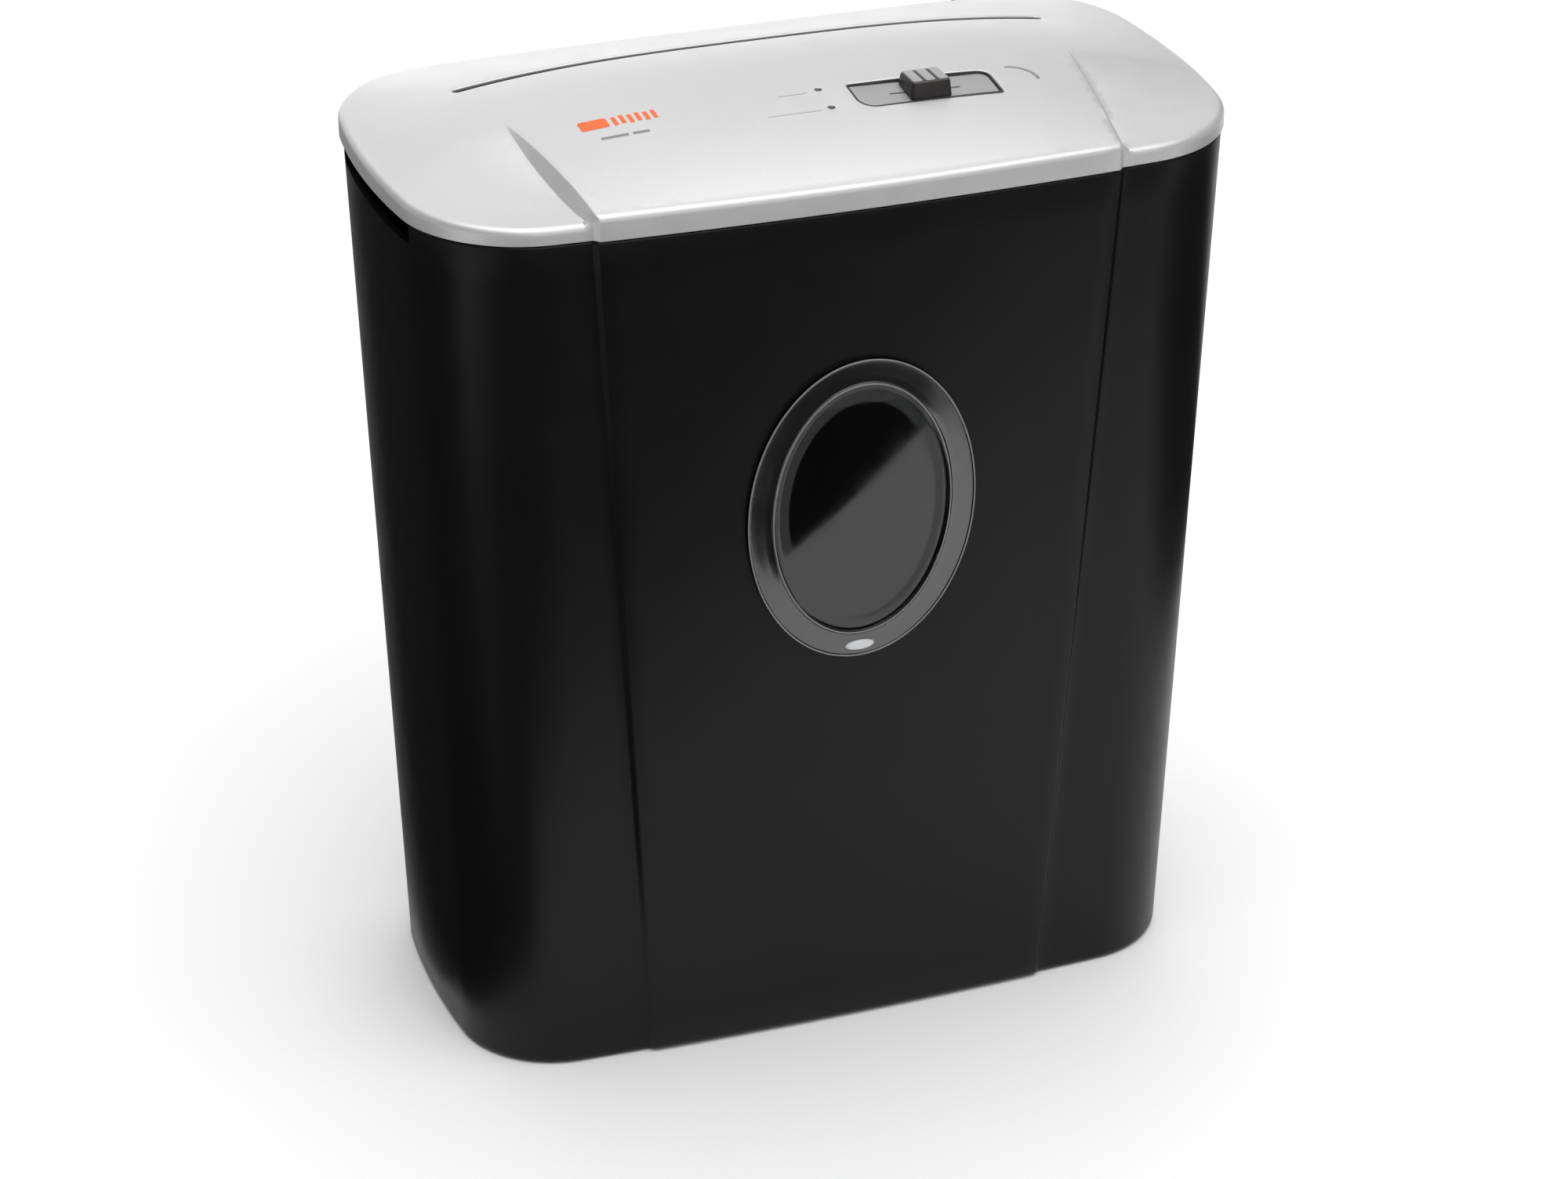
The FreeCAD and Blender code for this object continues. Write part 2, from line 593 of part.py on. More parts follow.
def make_tub():
    body = new_body("tub_body")
    wall = outline(body, "tub_plan", "tub", "tub_z")
    pad(body, "tub_walls", wall, "seat_z - tub_z")
    seat = outline(body, "seat_plan", "seat", "seat_z")
    pad(body, "seat_flange", seat, "seat_thick")
    hollow = outline(body, "tub_hollow_plan", "tub", "seat_z + seat_thick + 0.01", "tub_wall")
    pocket(body, "tub_hollow", hollow, "seat_z + seat_thick - tub_z - tub_floor + 0.01")
    way = rectangle(body, "exit_plan", "XY_Plane", ("-exit_half_x", "exit_front_y"),
                    ("exit_half_x", "exit_back_y"), "tub_z + tub_floor + 0.01")
    pocket(body, "shred_exit", way, "tub_floor + 1")
    spots = [(f"{sx} * screw_x", f"{sy} * screw_y", "screw_r + 0.2")
             for sx, sy in ((-1, -1), (1, -1), (1, 1), (-1, 1))]
    holes = circles(body, "screw_holes", "XY_Plane", spots, "seat_z + seat_thick + 1")
    pocket(body, "seat_holes", holes, "seat_thick + 2")
    pin = circles(body, "plunger_hole", "YZ_Plane",
                  [("rib_y", "plunger_z", "plunger_r + 0.08")], "tub_x - 8")
    pocket(body, "plunger_bore", pin, "12", back=True)
    keep(body, "head_base")
    screws = []
    for k, (sx, sy) in enumerate(((-1, -1), (1, -1), (1, 1), (-1, 1))):
        x, y = f"{sx} * screw_x", f"{sy} * screw_y"
        shank = post(f"screw_shank_{k}", "screw_r", "seat_z - 0.5", "lip_z - 1.5", x, y)
        head = post(f"screw_head_{k}", "screw_head_r", "seat_z - screw_head", "seat_z", x, y)
        screws.append(fuse(f"housing_screw_{k}", [shank, head]))
    keep(group("housing_screws_raw", screws), "housing_screws")


# ---- cutting block --------------------------------------------------------

FRONT_Y = "nip_y - shaft_gap / 2"
REAR_Y = "nip_y + shaft_gap / 2"


def make_cutter(side, axis_y, first_disc, first_spacer, left_end, right_end):
    """One cutter: stepped shaft, slotted discs and plain spacers between them."""
    shaft = new_body(side + "_shaft_body")
    left_step, right_step = "left_plate_x + plate_thick + 0.2", "right_plate_x - 0.2"
    profile = polygon(shaft, side + "_shaft_half", "XZ_Plane", [
        (left_end, "0"), (right_end, "0"), (right_end, "journal_r"),
        (right_step, "journal_r"), (right_step, "shaft_r"), (left_step, "shaft_r"),
        (left_step, "journal_r"), (left_end, "journal_r")])
    spin(shaft, side + "_shaft_turned", profile)
    move(shaft, None, axis_y, "nip_z")
    keep(shaft, side + "_shaft")

    discs = new_body(side + "_discs_body")
    ring = circles(discs, side + "_disc_ring", "YZ_Plane",
                   [("0", "0", "disc_r"), ("0", "0", "shaft_r + fit_gap")],
                   f"{first_disc} - disc_thick / 2")
    blade = pad(discs, side + "_disc", ring, "disc_thick")
    repeat(discs, side + "_disc_row", blade, "disc_pitch", "disc_count")
    move(discs, None, axis_y, "nip_z")
    keep(discs, side + "_discs")

    spacers = new_body(side + "_spacers_body")
    ring = circles(spacers, side + "_spacer_ring", "YZ_Plane",
                   [("0", "0", "spacer_r"), ("0", "0", "shaft_r + fit_gap")],
                   f"{first_spacer} - (disc_pitch - disc_thick) / 2")
    collar = pad(spacers, side + "_spacer", ring, "disc_pitch - disc_thick")
    repeat(spacers, side + "_spacer_row", collar, "disc_pitch", "disc_count")
    move(spacers, None, axis_y, "nip_z")
    keep(spacers, side + "_spacers")


def make_side_plate(side, x):
    """Steel end frame of the cutting block with its bearing, tie and motor holes."""
    body = new_body(side + "_plate_body")
    plan = rectangle(body, side + "_plate_side", "YZ_Plane",
                     ("-plate_half_y", "plate_low_z"), ("plate_half_y", "plate_top_z"), x)
    pad(body, side + "_plate_pad", plan, "plate_thick")
    rounds = [(FRONT_Y, "nip_z", "bush_r"), (REAR_Y, "nip_z", "bush_r")]
    rounds += [(y, z, "tie_r") for y, z in TIE_SPOTS]
    if side == "left":
        motor_y, motor_z = train["motor"]
        rounds.append((motor_y, motor_z, "motor_boss_r + 0.1"))
        rounds += [(y, z, "axle_r") for y, z in (train["second"], train["first"])]
    holes = circles(body, side + "_plate_holes", "YZ_Plane", rounds, x)
    pocket(body, side + "_plate_bores", holes, "plate_thick", back=True)
    seat = rectangle(body, side + "_chute_seat", "YZ_Plane",
                     ("slot_y - chute_gap - chute_wall - 0.3", "chute_low_z - 0.3"),
                     ("slot_y + chute_gap + chute_wall + 0.3", "plate_top_z + 1"), x)
    pocket(body, side + "_chute_notch", seat, "plate_thick", back=True)
    keep(body, side + "_side_plate")


TIE_SPOTS = [("-56", "318"), ("56", "318"), ("nip_y - 36", "plate_low_z + 6")]


def make_block_parts():
    bars, nuts = [], []
    for k, (y, z) in enumerate(TIE_SPOTS):
        bars.append(rod(f"tie_bar_{k}", "tie_r", "left_plate_x - 3", "right_plate_x + 5.5", y, z))
        for mark, low in (("a", "left_plate_x - 2.4"), ("b", "right_plate_x + plate_thick")):
            hexagon = doc.addObject("Part::Prism", f"tie_nut_{k}{mark}")
            hexagon.Polygon = 6
            hexagon.setExpression("Circumradius", link("tie_nut_r"))
            hexagon.Height = 2.4
            hexagon.Placement = FreeCAD.Placement(V(0, 0, 0), FreeCAD.Rotation(V(0, 1, 0), 90))
            move(hexagon, low, y, z)
            bore = rod(f"tie_nut_bore_{k}{mark}", "tie_r", f"{low} - 1", f"{low} + 4", y, z)
            nuts.append(cut(f"tie_nut_cut_{k}{mark}", hexagon, bore))
    keep(group("tie_rods_raw", bars), "tie_rods")
    keep(group("tie_rod_nuts_raw", nuts), "tie_rod_nuts")

    bushes = []
    for side, plate in (("left", "left_plate_x"), ("right", "right_plate_x")):
        for where, axis_y in (("front", FRONT_Y), ("rear", REAR_Y)):
            barrel = rod(f"{side}_{where}_barrel", "bush_r", plate, f"{plate} + plate_thick",
                         axis_y, "nip_z")
            collar_low = f"{plate} + plate_thick" if side == "right" else f"{plate} - 0.5"
            collar = rod(f"{side}_{where}_collar", "bush_flange_r", collar_low,
                         f"{collar_low} + 0.5", axis_y, "nip_z")
            bore = rod(f"{side}_{where}_bore", "journal_r + fit_gap", f"{plate} - 3",
                       f"{plate} + 6", axis_y, "nip_z")
            whole = fuse(f"{side}_{where}_bush", [barrel, collar])
            bushes.append(cut(f"{side}_{where}_bush_cut", whole, bore))
    keep(group("shaft_bushes_raw", bushes), "shaft_bushes")


def make_comb(side, sign, first_finger):
    """Stripper comb: a bar behind the cutter with fingers that reach between its discs."""
    axis = FRONT_Y if side == "front" else REAR_Y
    near = f"{axis} + ({sign}) * comb_gap"
    far = f"{axis} + ({sign}) * (comb_gap - comb_bar)"
    low_y, high_y = (near, f"{near} + comb_bar") if sign < 0 else (far, near)
    body = new_body(side + "_comb_body")
    bar = rectangle(body, side + "_comb_bar", "YZ_Plane", (low_y, "comb_low_z"),
                    (high_y, "comb_top_z"), "left_plate_x + plate_thick")
    pad(body, side + "_comb_rail", bar, "right_plate_x - left_plate_x - plate_thick")
    reach = f"{near} - ({sign}) * finger_long"
    ends = (near, reach) if sign < 0 else (reach, near)
    tooth = rectangle(body, side + "_finger_side", "YZ_Plane", (ends[0], "finger_low_z"),
                      (ends[1], "finger_top_z"), f"{first_finger} - finger_wide / 2")
    finger = pad(body, side + "_finger", tooth, "finger_wide")
    repeat(body, side + "_fingers", finger, "disc_pitch", "disc_count")
    keep(body, side + "_stripper")


# ---- gears ----------------------------------------------------------------

PRESSURE = math.radians(20)
PINION_TIP, WHEEL_TIP, ROOT_DEPTH, THIN = 1.0, 0.6, 1.25, 0.12


def half_tooth(radius, pitch_r, base_r, teeth):
    """Half the tooth's angle at a radius, for an involute flank with some backlash."""
    lean = math.acos(min(1.0, base_r / radius))
    at_pitch = (math.pi / 2 - THIN) / teeth
    return at_pitch + math.tan(PRESSURE) - PRESSURE - (math.tan(lean) - lean)


def gear_shape(teeth, module, tip, wide, bore, x, centre, phase):
    """A spur gear about an axis along X; one tooth is centred on the phase angle."""
    teeth = int(teeth)
    pitch_r = module * teeth / 2
    base_r, tip_r = pitch_r * math.cos(PRESSURE), pitch_r + tip * module
    root_r = pitch_r - ROOT_DEPTH * module
    foot_r = max(base_r, root_r + 0.02)
    middle_r = (foot_r + tip_r) / 2

    def spot(radius, angle):
        return V(x, centre[0] + radius * math.cos(angle), centre[1] + radius * math.sin(angle))

    step = math.tau / teeth
    half = {r: half_tooth(r, pitch_r, base_r, teeth) for r in (foot_r, middle_r, tip_r)}
    edges = []
    for k in range(teeth):
        here = phase + k * step
        root_in, root_out = here - half[foot_r], here + half[foot_r]
        edges.append(Part.LineSegment(spot(root_r, root_in), spot(foot_r, root_in)))
        edges.append(Part.Arc(spot(foot_r, root_in), spot(middle_r, here - half[middle_r]),
                              spot(tip_r, here - half[tip_r])))
        edges.append(Part.Arc(spot(tip_r, here - half[tip_r]), spot(tip_r, here),
                              spot(tip_r, here + half[tip_r])))
        edges.append(Part.Arc(spot(tip_r, here + half[tip_r]),
                              spot(middle_r, here + half[middle_r]), spot(foot_r, root_out)))
        edges.append(Part.LineSegment(spot(foot_r, root_out), spot(root_r, root_out)))
        after = here + step - half[foot_r]
        edges.append(Part.Arc(spot(root_r, root_out), spot(root_r, (root_out + after) / 2),
                              spot(root_r, after)))
    face = Part.Face(Part.Wire([edge.toShape() for edge in edges]))
    solid = face.extrude(V(wide, 0, 0))
    hole = Part.makeCylinder(bore, wide + 2, V(x - 1, centre[0], centre[1]), V(1, 0, 0))
    return solid.cut(hole)


def swing(centre, distance, degrees):
    angle = math.radians(degrees)
    return (centre[0] + distance * math.cos(angle), centre[1] + distance * math.sin(angle))


def lay_out_train():
    """Axes of the reduction, worked out from the gears' centre distances."""
    front = (num("nip_y") - num("shaft_gap") / 2, num("nip_z"))
    rear = (num("nip_y") + num("shaft_gap") / 2, num("nip_z"))
    third = num("third_module") * (num("third_pinion") + num("third_wheel")) / 2
    second_axis = swing(front, third, num("third_angle"))
    second = num("second_module") * (num("second_pinion") + num("second_wheel")) / 2
    first_axis = swing(second_axis, second, num("second_angle"))
    first = num("first_module") * (num("first_pinion") + num("first_wheel")) / 2
    motor_axis = swing(first_axis, first, num("first_angle"))
    return {"front": front, "rear": rear, "second": second_axis, "first": first_axis,
            "motor": motor_axis}


def mesh(pinion, wheel, module, widths, places, bores, tips, axes):
    """A meshing pair: the pinion's tooth and the wheel's gap lie on the line of centres."""
    here, there = train[axes[0]], train[axes[1]]
    line = math.atan2(there[1] - here[1], there[0] - here[0])
    half_step = math.pi / int(num(pinion[1])), math.pi / int(num(wheel[1]))
    small = gear_shape(num(pinion[1]), num(module), tips[0], widths[0], bores[0], places[0],
                       here, line)
    large = gear_shape(num(wheel[1]), num(module), tips[1], widths[1], bores[1], places[1],
                       there, line + math.pi + half_step[1])
    keep(by_code(pinion[0] + "_raw", small), pinion[0])
    keep(by_code(wheel[0] + "_raw", large), wheel[0])


def make_gears():
    axle = num("axle_r") + num("fit_gap")
    journal = num("journal_r") + 0.02
    mesh(("motor_pinion", "first_pinion"), ("first_wheel", "first_wheel"), "first_module",
         (num("layer_three"),) * 2, (num("layer_three_x"),) * 2,
         (num("motor_shaft_r") + 0.02, axle), (PINION_TIP, WHEEL_TIP), ("motor", "first"))
    mesh(("first_wheel_pinion", "second_pinion"), ("second_wheel", "second_wheel"),
         "second_module", (num("layer_two") + 0.6, num("layer_two")),
         (num("layer_two_x"),) * 2, (axle, axle), (PINION_TIP, WHEEL_TIP), ("first", "second"))
    mesh(("second_wheel_pinion", "third_pinion"), ("drive_gear", "third_wheel"),
         "third_module", (num("layer_one"),) * 2, (num("layer_one_x"),) * 2,
         (axle, journal), (PINION_TIP, WHEEL_TIP), ("second", "front"))
    mesh(("front_sync_gear", "sync_teeth"), ("rear_sync_gear", "sync_teeth"), "sync_module",
         (num("sync_wide"),) * 2, (num("sync_x"),) * 2, (journal, journal),
         (0.85, 0.85), ("front", "rear"))
    pins = []
    for name in ("second", "first"):
        y, z = train[name]
        pins.append(rod(f"{name}_axle", "axle_r", "gear_plate_x - 0.4",
                        "left_plate_x + plate_thick", str(y), str(z)))
    keep(group("gear_axles_raw", pins), "gear_axles")


def make_gear_plate():
    """Thin outer plate that holds the free ends of the gear axles."""
    (second_y, second_z), (first_y, first_z) = train["second"], train["first"]
    body = new_body("gear_plate_body")
    margin = 7
    plan = rectangle(body, "gear_plate_side", "YZ_Plane",
                     (first_y - margin, second_z - margin),
                     (second_y + margin, first_z + margin), "gear_plate_x")
    pad(body, "gear_plate_pad", plan, "gear_plate_thick")
    holes = circles(body, "gear_plate_holes", "YZ_Plane",
                    [(second_y, second_z, "axle_r"), (first_y, first_z, "axle_r")],
                    "gear_plate_x")
    pocket(body, "gear_plate_bores", holes, "gear_plate_thick", back=True)
    keep(body, "gear_plate")


# ---- motor ----------------------------------------------------------------

def make_motor():
    y, z = train["motor"]
    can = new_body("motor_can_body")
    can_profile = polygon(can, "can_half", "XZ_Plane", [
        ("motor_left_x", "motor_shaft_r + fit_gap + 1"), ("motor_left_x", "motor_r"),
        ("motor_right_x - 6", "motor_r"), ("motor_right_x - 6", "motor_r - motor_wall"),
        ("motor_left_x + 2", "motor_r - motor_wall"),
        ("motor_left_x + 2", "motor_shaft_r + fit_gap + 1")])
    spin(can, "can_turned", can_profile)
    move(can, None, y, z)
    keep(can, "motor_can")

    boss = new_body("motor_bearing_body")
    boss_profile = polygon(boss, "bearing_half", "XZ_Plane", [
        ("left_plate_x", "motor_shaft_r + fit_gap"), ("left_plate_x", "motor_boss_r"),
        ("motor_left_x", "motor_boss_r"), ("motor_left_x", "motor_shaft_r + fit_gap + 1"),
        ("motor_left_x + 3", "motor_shaft_r + fit_gap + 1"),
        ("motor_left_x + 3", "motor_shaft_r + fit_gap")])
    spin(boss, "bearing_turned", boss_profile)
    move(boss, None, y, z)
    keep(boss, "motor_bearing")

    cap = new_body("motor_end_cap_body")
    cap_profile = polygon(cap, "cap_half", "XZ_Plane", [
        ("motor_right_x - 6", "motor_shaft_r + fit_gap"), ("motor_right_x - 6", "motor_r"),
        ("motor_right_x - 2", "motor_r"), ("motor_right_x - 2", "6"),
        ("motor_right_x + 2", "6"), ("motor_right_x + 2", "motor_shaft_r + fit_gap")])
    spin(cap, "cap_turned", cap_profile)
    move(cap, None, y, z)
    keep(cap, "motor_end_cap")

    keep(rod("motor_shaft_raw", "motor_shaft_r", "layer_three_x - 0.4", "motor_right_x + 1",
             str(y), str(z)), "motor_shaft")
    core = rod("armature_core", "armature_r", "motor_left_x + 12", "motor_right_x - 16",
               str(y), str(z))
    bore = rod("armature_bore", "motor_shaft_r", "motor_left_x + 5", "motor_right_x - 5",
               str(y), str(z))
    keep(cut("armature_cut", core, bore), "motor_armature")
    screws = []
    for k, side in enumerate((-1, 1)):
        height = f"{z} + ({side}) * 15"
        head = rod(f"motor_screw_head_{k}", "3", "left_plate_x - 1.8", "left_plate_x",
                   str(y), height)
        screws.append(head)
    keep(group("motor_screws_raw", screws), "motor_screws")


# ---- feed sensor, interlock, board and knob -------------------------------

def make_sensor():
    lever = new_body("sensor_lever_body")
    hub = circles(lever, "lever_hub", "YZ_Plane", [("0", "0", "2.6")], "-lever_wide / 2")
    pad(lever, "lever_boss", hub, "lever_wide")
    arm = rectangle(lever, "lever_arm_side", "YZ_Plane", ("0", "-lever_thick / 2"),
                    ("lever_long", "lever_thick / 2"), "-lever_wide / 2")
    pad(lever, "lever_arm", arm, "lever_wide")
    eye = circles(lever, "lever_eye", "YZ_Plane", [("0", "0", "1.05")], "-lever_wide / 2")
    pocket(lever, "lever_bore", eye, "lever_wide", back=True)
    lever.Placement = FreeCAD.Placement(V(0, 0, 0), FreeCAD.Rotation(V(1, 0, 0), -25))
    move(lever, None, "lever_y", "lever_z")
    keep(lever, "sensor_lever")
    keep(rod("sensor_pin_raw", "1", "-9", "9", "lever_y", "lever_z"), "sensor_pin")
    keep(block("sensor_switch_raw", ("-10", "lever_y - 13.5", "lever_z - 5"),
               ("10", "lever_y - 6", "lever_z + 5")), "sensor_switch")
    cheeks = []
    for k, x in enumerate(("-9", "6")):
        cheek = block(f"sensor_cheek_{k}", (x, "lever_y - 6", "lever_z - 4"),
                      (f"{x} + 3", "lever_y + 3.5", "lever_z + 4"))
        hole = rod(f"sensor_cheek_hole_{k}", "1", f"{x} - 1", f"{x} + 4", "lever_y", "lever_z")
        cheeks.append(cut(f"sensor_cheek_cut_{k}", cheek, hole))
    keep(group("sensor_bracket_raw", cheeks), "sensor_bracket")
    keep(coil("sensor_spring_body", "1.7", "0.25", "0.75", "2.4", "2.6", "lever_y", "lever_z"),
         "sensor_spring")


def coil(label, radius, wire, pitch, length, x, y, z):
    """A round-wire spring along X, its first turn at x."""
    item = doc.addObject("Part::Helix", label + "_path")
    item.setExpression("Radius", link(radius))
    item.setExpression("Pitch", link(pitch))
    item.setExpression("Height", link(length))
    ring = doc.addObject("Part::Circle", label + "_ring")
    ring.setExpression("Radius", link(wire))
    ring.Placement = FreeCAD.Placement(V(0, 0, 0), FreeCAD.Rotation(V(1, 0, 0), 90))
    ring.setExpression("Placement.Base.x", link(radius))
    body = doc.addObject("Part::Sweep", label)
    body.Sections = [ring]
    body.Spine = (item, ["Edge1"])
    body.Solid = True
    body.Frenet = True
    body.Placement = FreeCAD.Placement(V(0, 0, 0), FreeCAD.Rotation(V(0, 1, 0), 90))
    return move(body, x, y, z)


def make_interlock():
    plunger = new_body("interlock_plunger_body")
    profile = polygon(plunger, "plunger_half", "XZ_Plane", [
        ("plunger_tail_x", "0"), ("plunger_tip_x", "0"), ("plunger_tip_x", "plunger_r"),
        ("plunger_tail_x + 5.6", "plunger_r"), ("plunger_tail_x + 5.6", "plunger_r + 2"),
        ("plunger_tail_x + 4.4", "plunger_r + 2"), ("plunger_tail_x + 4.4", "plunger_r - 0.6"),
        ("plunger_tail_x", "plunger_r - 0.6")])
    spin(plunger, "plunger_turned", profile)
    move(plunger, None, "rib_y", "plunger_z")
    keep(plunger, "interlock_plunger")
    keep(block("interlock_switch_raw",
               ("plunger_tail_x - 6.4", "rib_y - 7", "plunger_z - 4"),
               ("plunger_tail_x - 0.2", "rib_y + 7", "plunger_z + 4")), "interlock_switch")
    keep(coil("interlock_spring_body", "2.7", "0.3", "1.1", "3.2", "plunger_tail_x + 0.5",
              "rib_y", "plunger_z"), "interlock_spring")


def make_board():
    """Circuit board on four posts, with its largest parts and the slide switch above it."""
    body = new_body("board_body")
    plan = rectangle(body, "board_plan", "XY_Plane", ("board_low_x", "board_low_y"),
                     ("board_high_x", "board_high_y"), "board_z")
    pad(body, "board_pad", plan, "board_thick")
    spots = [(x, y) for x in ("board_low_x + board_hole", "board_high_x - board_hole")
             for y in ("board_low_y + board_hole", "board_high_y - board_hole")]
    holes = circles(body, "board_holes", "XY_Plane", [(x, y, "1.7") for x, y in spots],
                    "board_z + 2")
    pocket(body, "board_bores", holes, "4")
    keep(body, "circuit_board")
    posts = [post(f"board_post_{k}", "2.6", "tub_z + tub_floor", "board_z", x, y)
             for k, (x, y) in enumerate(spots)]
    keep(group("board_posts_raw", posts), "board_posts")
    top = "board_z + board_thick"
    keep(block("relay_raw", ("14", "-56", top), ("43", "-43.5", top + " + 15.5")), "relay")
    keep(post("capacitor_raw", "6", top, top + " + 21", "62", "-50"), "capacitor")
    keep(block("terminal_raw", ("74", "-62", top), ("92", "-52", top + " + 11")),
         "terminal_block")
    keep(block("slide_switch_raw", ("tray_x - 19", "tray_y - 6", "tray_floor_z - 12"),
               ("tray_x + 19", "tray_y + 6", "tray_floor_z - tray_wall - 2.2")), "slide_switch")


def make_knob():
    """Sliding mode knob with finger ridges and a stem through the tray."""
    body = new_body("mode_knob_body")
    plan = rectangle(body, "knob_plan", "XY_Plane",
                     ("tray_x - knob_half_x", "tray_y - knob_half_y"),
                     ("tray_x + knob_half_x", "tray_y + knob_half_y"), "tray_floor_z + 0.15")
    pad(body, "knob_block", plan, "knob_top_z - tray_floor_z - 0.9")
    ridge = rectangle(body, "ridge_plan", "XY_Plane",
                      ("tray_x - knob_half_x + 1.4", "tray_y - knob_half_y + 0.8"),
                      ("tray_x - knob_half_x + 3.4", "tray_y + knob_half_y - 0.8"),
                      "knob_top_z - 1")
    rib = pad(body, "ridge", ridge, "1")
    repeat(body, "ridges", rib, "3.6", "4")
    stem = rectangle(body, "stem_plan", "XY_Plane", ("tray_x - 3", "tray_y - 1.6"),
                     ("tray_x + 3", "tray_y + 1.6"), "tray_floor_z - 3.4")
    pad(body, "stem", stem, "4")
    keep(body, "mode_knob")


# ---- build ----------------------------------------------------------------

train = lay_out_train()
make_bin()
make_window()
make_cover()
make_cover_fittings()
make_small_cover_parts()
make_tub()
first_rear = "first_disc_x + disc_pitch / 2"
make_cutter("front", FRONT_Y, "first_disc_x", first_rear, "layer_one_x - 0.2", "sync_x + 6.5")
make_cutter("rear", REAR_Y, first_rear, "first_disc_x", "left_plate_x - 1.5", "sync_x + 6.5")
make_side_plate("left", "left_plate_x")
make_side_plate("right", "right_plate_x")
make_block_parts()
make_comb("front", -1, first_rear)
make_comb("rear", 1, "first_disc_x")
make_gears()
make_gear_plate()
make_motor()
make_sensor()
make_interlock()
make_board()
make_knob()
doc.recompute()

bad = [item.Name for item in doc.Objects if set(item.State) & {"Invalid", "Error"}]
if bad:
    raise RuntimeError("failed objects: " + ", ".join(bad))
for item in nodes:
    if item.Shape.isNull() or not item.Shape.isValid():
        raise RuntimeError(item.Label + " has no valid shape")

os.makedirs("parts", exist_ok=True)
for item in nodes:
    item.Shape.exportStep(f"parts/{item.Label}.step")
    box = item.Shape.BoundBox
    print(f"{item.Label:22s} solids {len(item.Shape.Solids):3d} volume {item.Shape.Volume:10.0f}",
          f"x {box.XMin:7.1f} {box.XMax:7.1f} y {box.YMin:6.1f} {box.YMax:6.1f}",
          f"z {box.ZMin:6.1f} {box.ZMax:6.1f}")
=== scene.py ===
import json
import math
import bpy
import bmesh
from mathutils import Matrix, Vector
from mathutils.geometry import delaunay_2d_cdt


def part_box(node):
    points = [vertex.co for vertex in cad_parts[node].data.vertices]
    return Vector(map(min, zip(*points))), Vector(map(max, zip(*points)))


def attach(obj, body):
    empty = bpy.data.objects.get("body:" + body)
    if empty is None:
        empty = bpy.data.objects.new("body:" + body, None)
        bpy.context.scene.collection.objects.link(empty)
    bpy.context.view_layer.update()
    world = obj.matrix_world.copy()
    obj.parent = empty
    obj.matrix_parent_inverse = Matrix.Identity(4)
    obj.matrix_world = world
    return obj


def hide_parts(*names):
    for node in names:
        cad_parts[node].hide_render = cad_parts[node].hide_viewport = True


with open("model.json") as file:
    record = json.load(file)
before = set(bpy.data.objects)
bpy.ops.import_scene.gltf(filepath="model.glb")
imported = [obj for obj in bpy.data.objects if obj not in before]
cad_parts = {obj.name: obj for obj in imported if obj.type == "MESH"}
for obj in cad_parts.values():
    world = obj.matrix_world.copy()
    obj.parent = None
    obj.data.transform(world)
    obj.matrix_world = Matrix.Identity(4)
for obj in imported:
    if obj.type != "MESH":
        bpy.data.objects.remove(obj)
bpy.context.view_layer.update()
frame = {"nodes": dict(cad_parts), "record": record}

# Paper shredder: silver domed cutting head on a tapered black bin with an oval window.
# Lengths below are millimetres; MM turns them into the frame's metres.
MM = 0.001


def box_mm(node):
    low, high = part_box(node)
    return low / MM, high / MM


COVER_LOW, COVER_HIGH = box_mm("top_cover")
BIN_HIGH = box_mm("waste_bin")[1]
TRAY_LOW, TRAY_HIGH = box_mm("switch_tray")
KNOB_LOW, KNOB_HIGH = box_mm("mode_knob")
WINDOW_LOW, WINDOW_HIGH = box_mm("bin_window")

# plan outlines: half width, half depth, front bow, end bow and corner radius
# the middle of the front stands proud of the wings beside it, so each outline is shifted back
PROUD, SEAM_HALF = 2.0, 1.2
LID_SHIFT, BIN_SHIFT = PROUD / 2, 0.35
LID = dict(x=155.6, y=85.0 - LID_SHIFT, bow=1600.0, end=330.0, corner=46.0)
RIM = dict(x=154.3, y=83.7 - BIN_SHIFT, bow=1598.7, end=328.7, corner=44.7)
FOOT = dict(x=143.2, y=72.0 - BIN_SHIFT, bow=2000.0, end=330.0, corner=38.0)
RIM_Z = BIN_HIGH.z
WALL = 2.5
PANEL_FOOT_X, PANEL_RIM_X = 78.0, 97.0

# cover
LIP_LOW = COVER_LOW.z
LIP_DEEP = 7.0
LIP_TOP = LIP_LOW + LIP_DEEP
CROWN = COVER_HIGH.z - LIP_TOP
# the crown is highest at CROWN_Y and would reach the lip this far behind and in front of it
CROWN_Y, CROWN_BACK, CROWN_FRONT = 6.0, 80.0, 95.0
WING_SINK = 1.2
SKIN = 2.4
LIP_ROUND = 2.6
SHOULDER_Y = -7.0
STEP_BACK_X, STEP_MID_X, STEP_FRONT_X = 107.0, 102.5, 96.5
SLOT_Y, SLOT_HALF_X, SLOT_HALF_Y = 32.3, 113.5, 2.2
# rounding of the edges of slot and recess, and of the light holes
OPENING_ROUND, LIGHT_HOLE_ROUND = 0.5, 0.25
# spacing of the mesh points on the broad top faces
GRID = 2.6


# ---- plan outlines ---------------------------------------------------------

def mix(a, b, share):
    return a + (b - a) * share


def smooth(share):
    share = min(max(share, 0.0), 1.0)
    return share * share * (3 - 2 * share)


def blend_outline(low, high, share, inset=0.0):
    """An outline between two others, moved inwards."""
    return {key: mix(low[key], high[key], share) - inset for key in low}


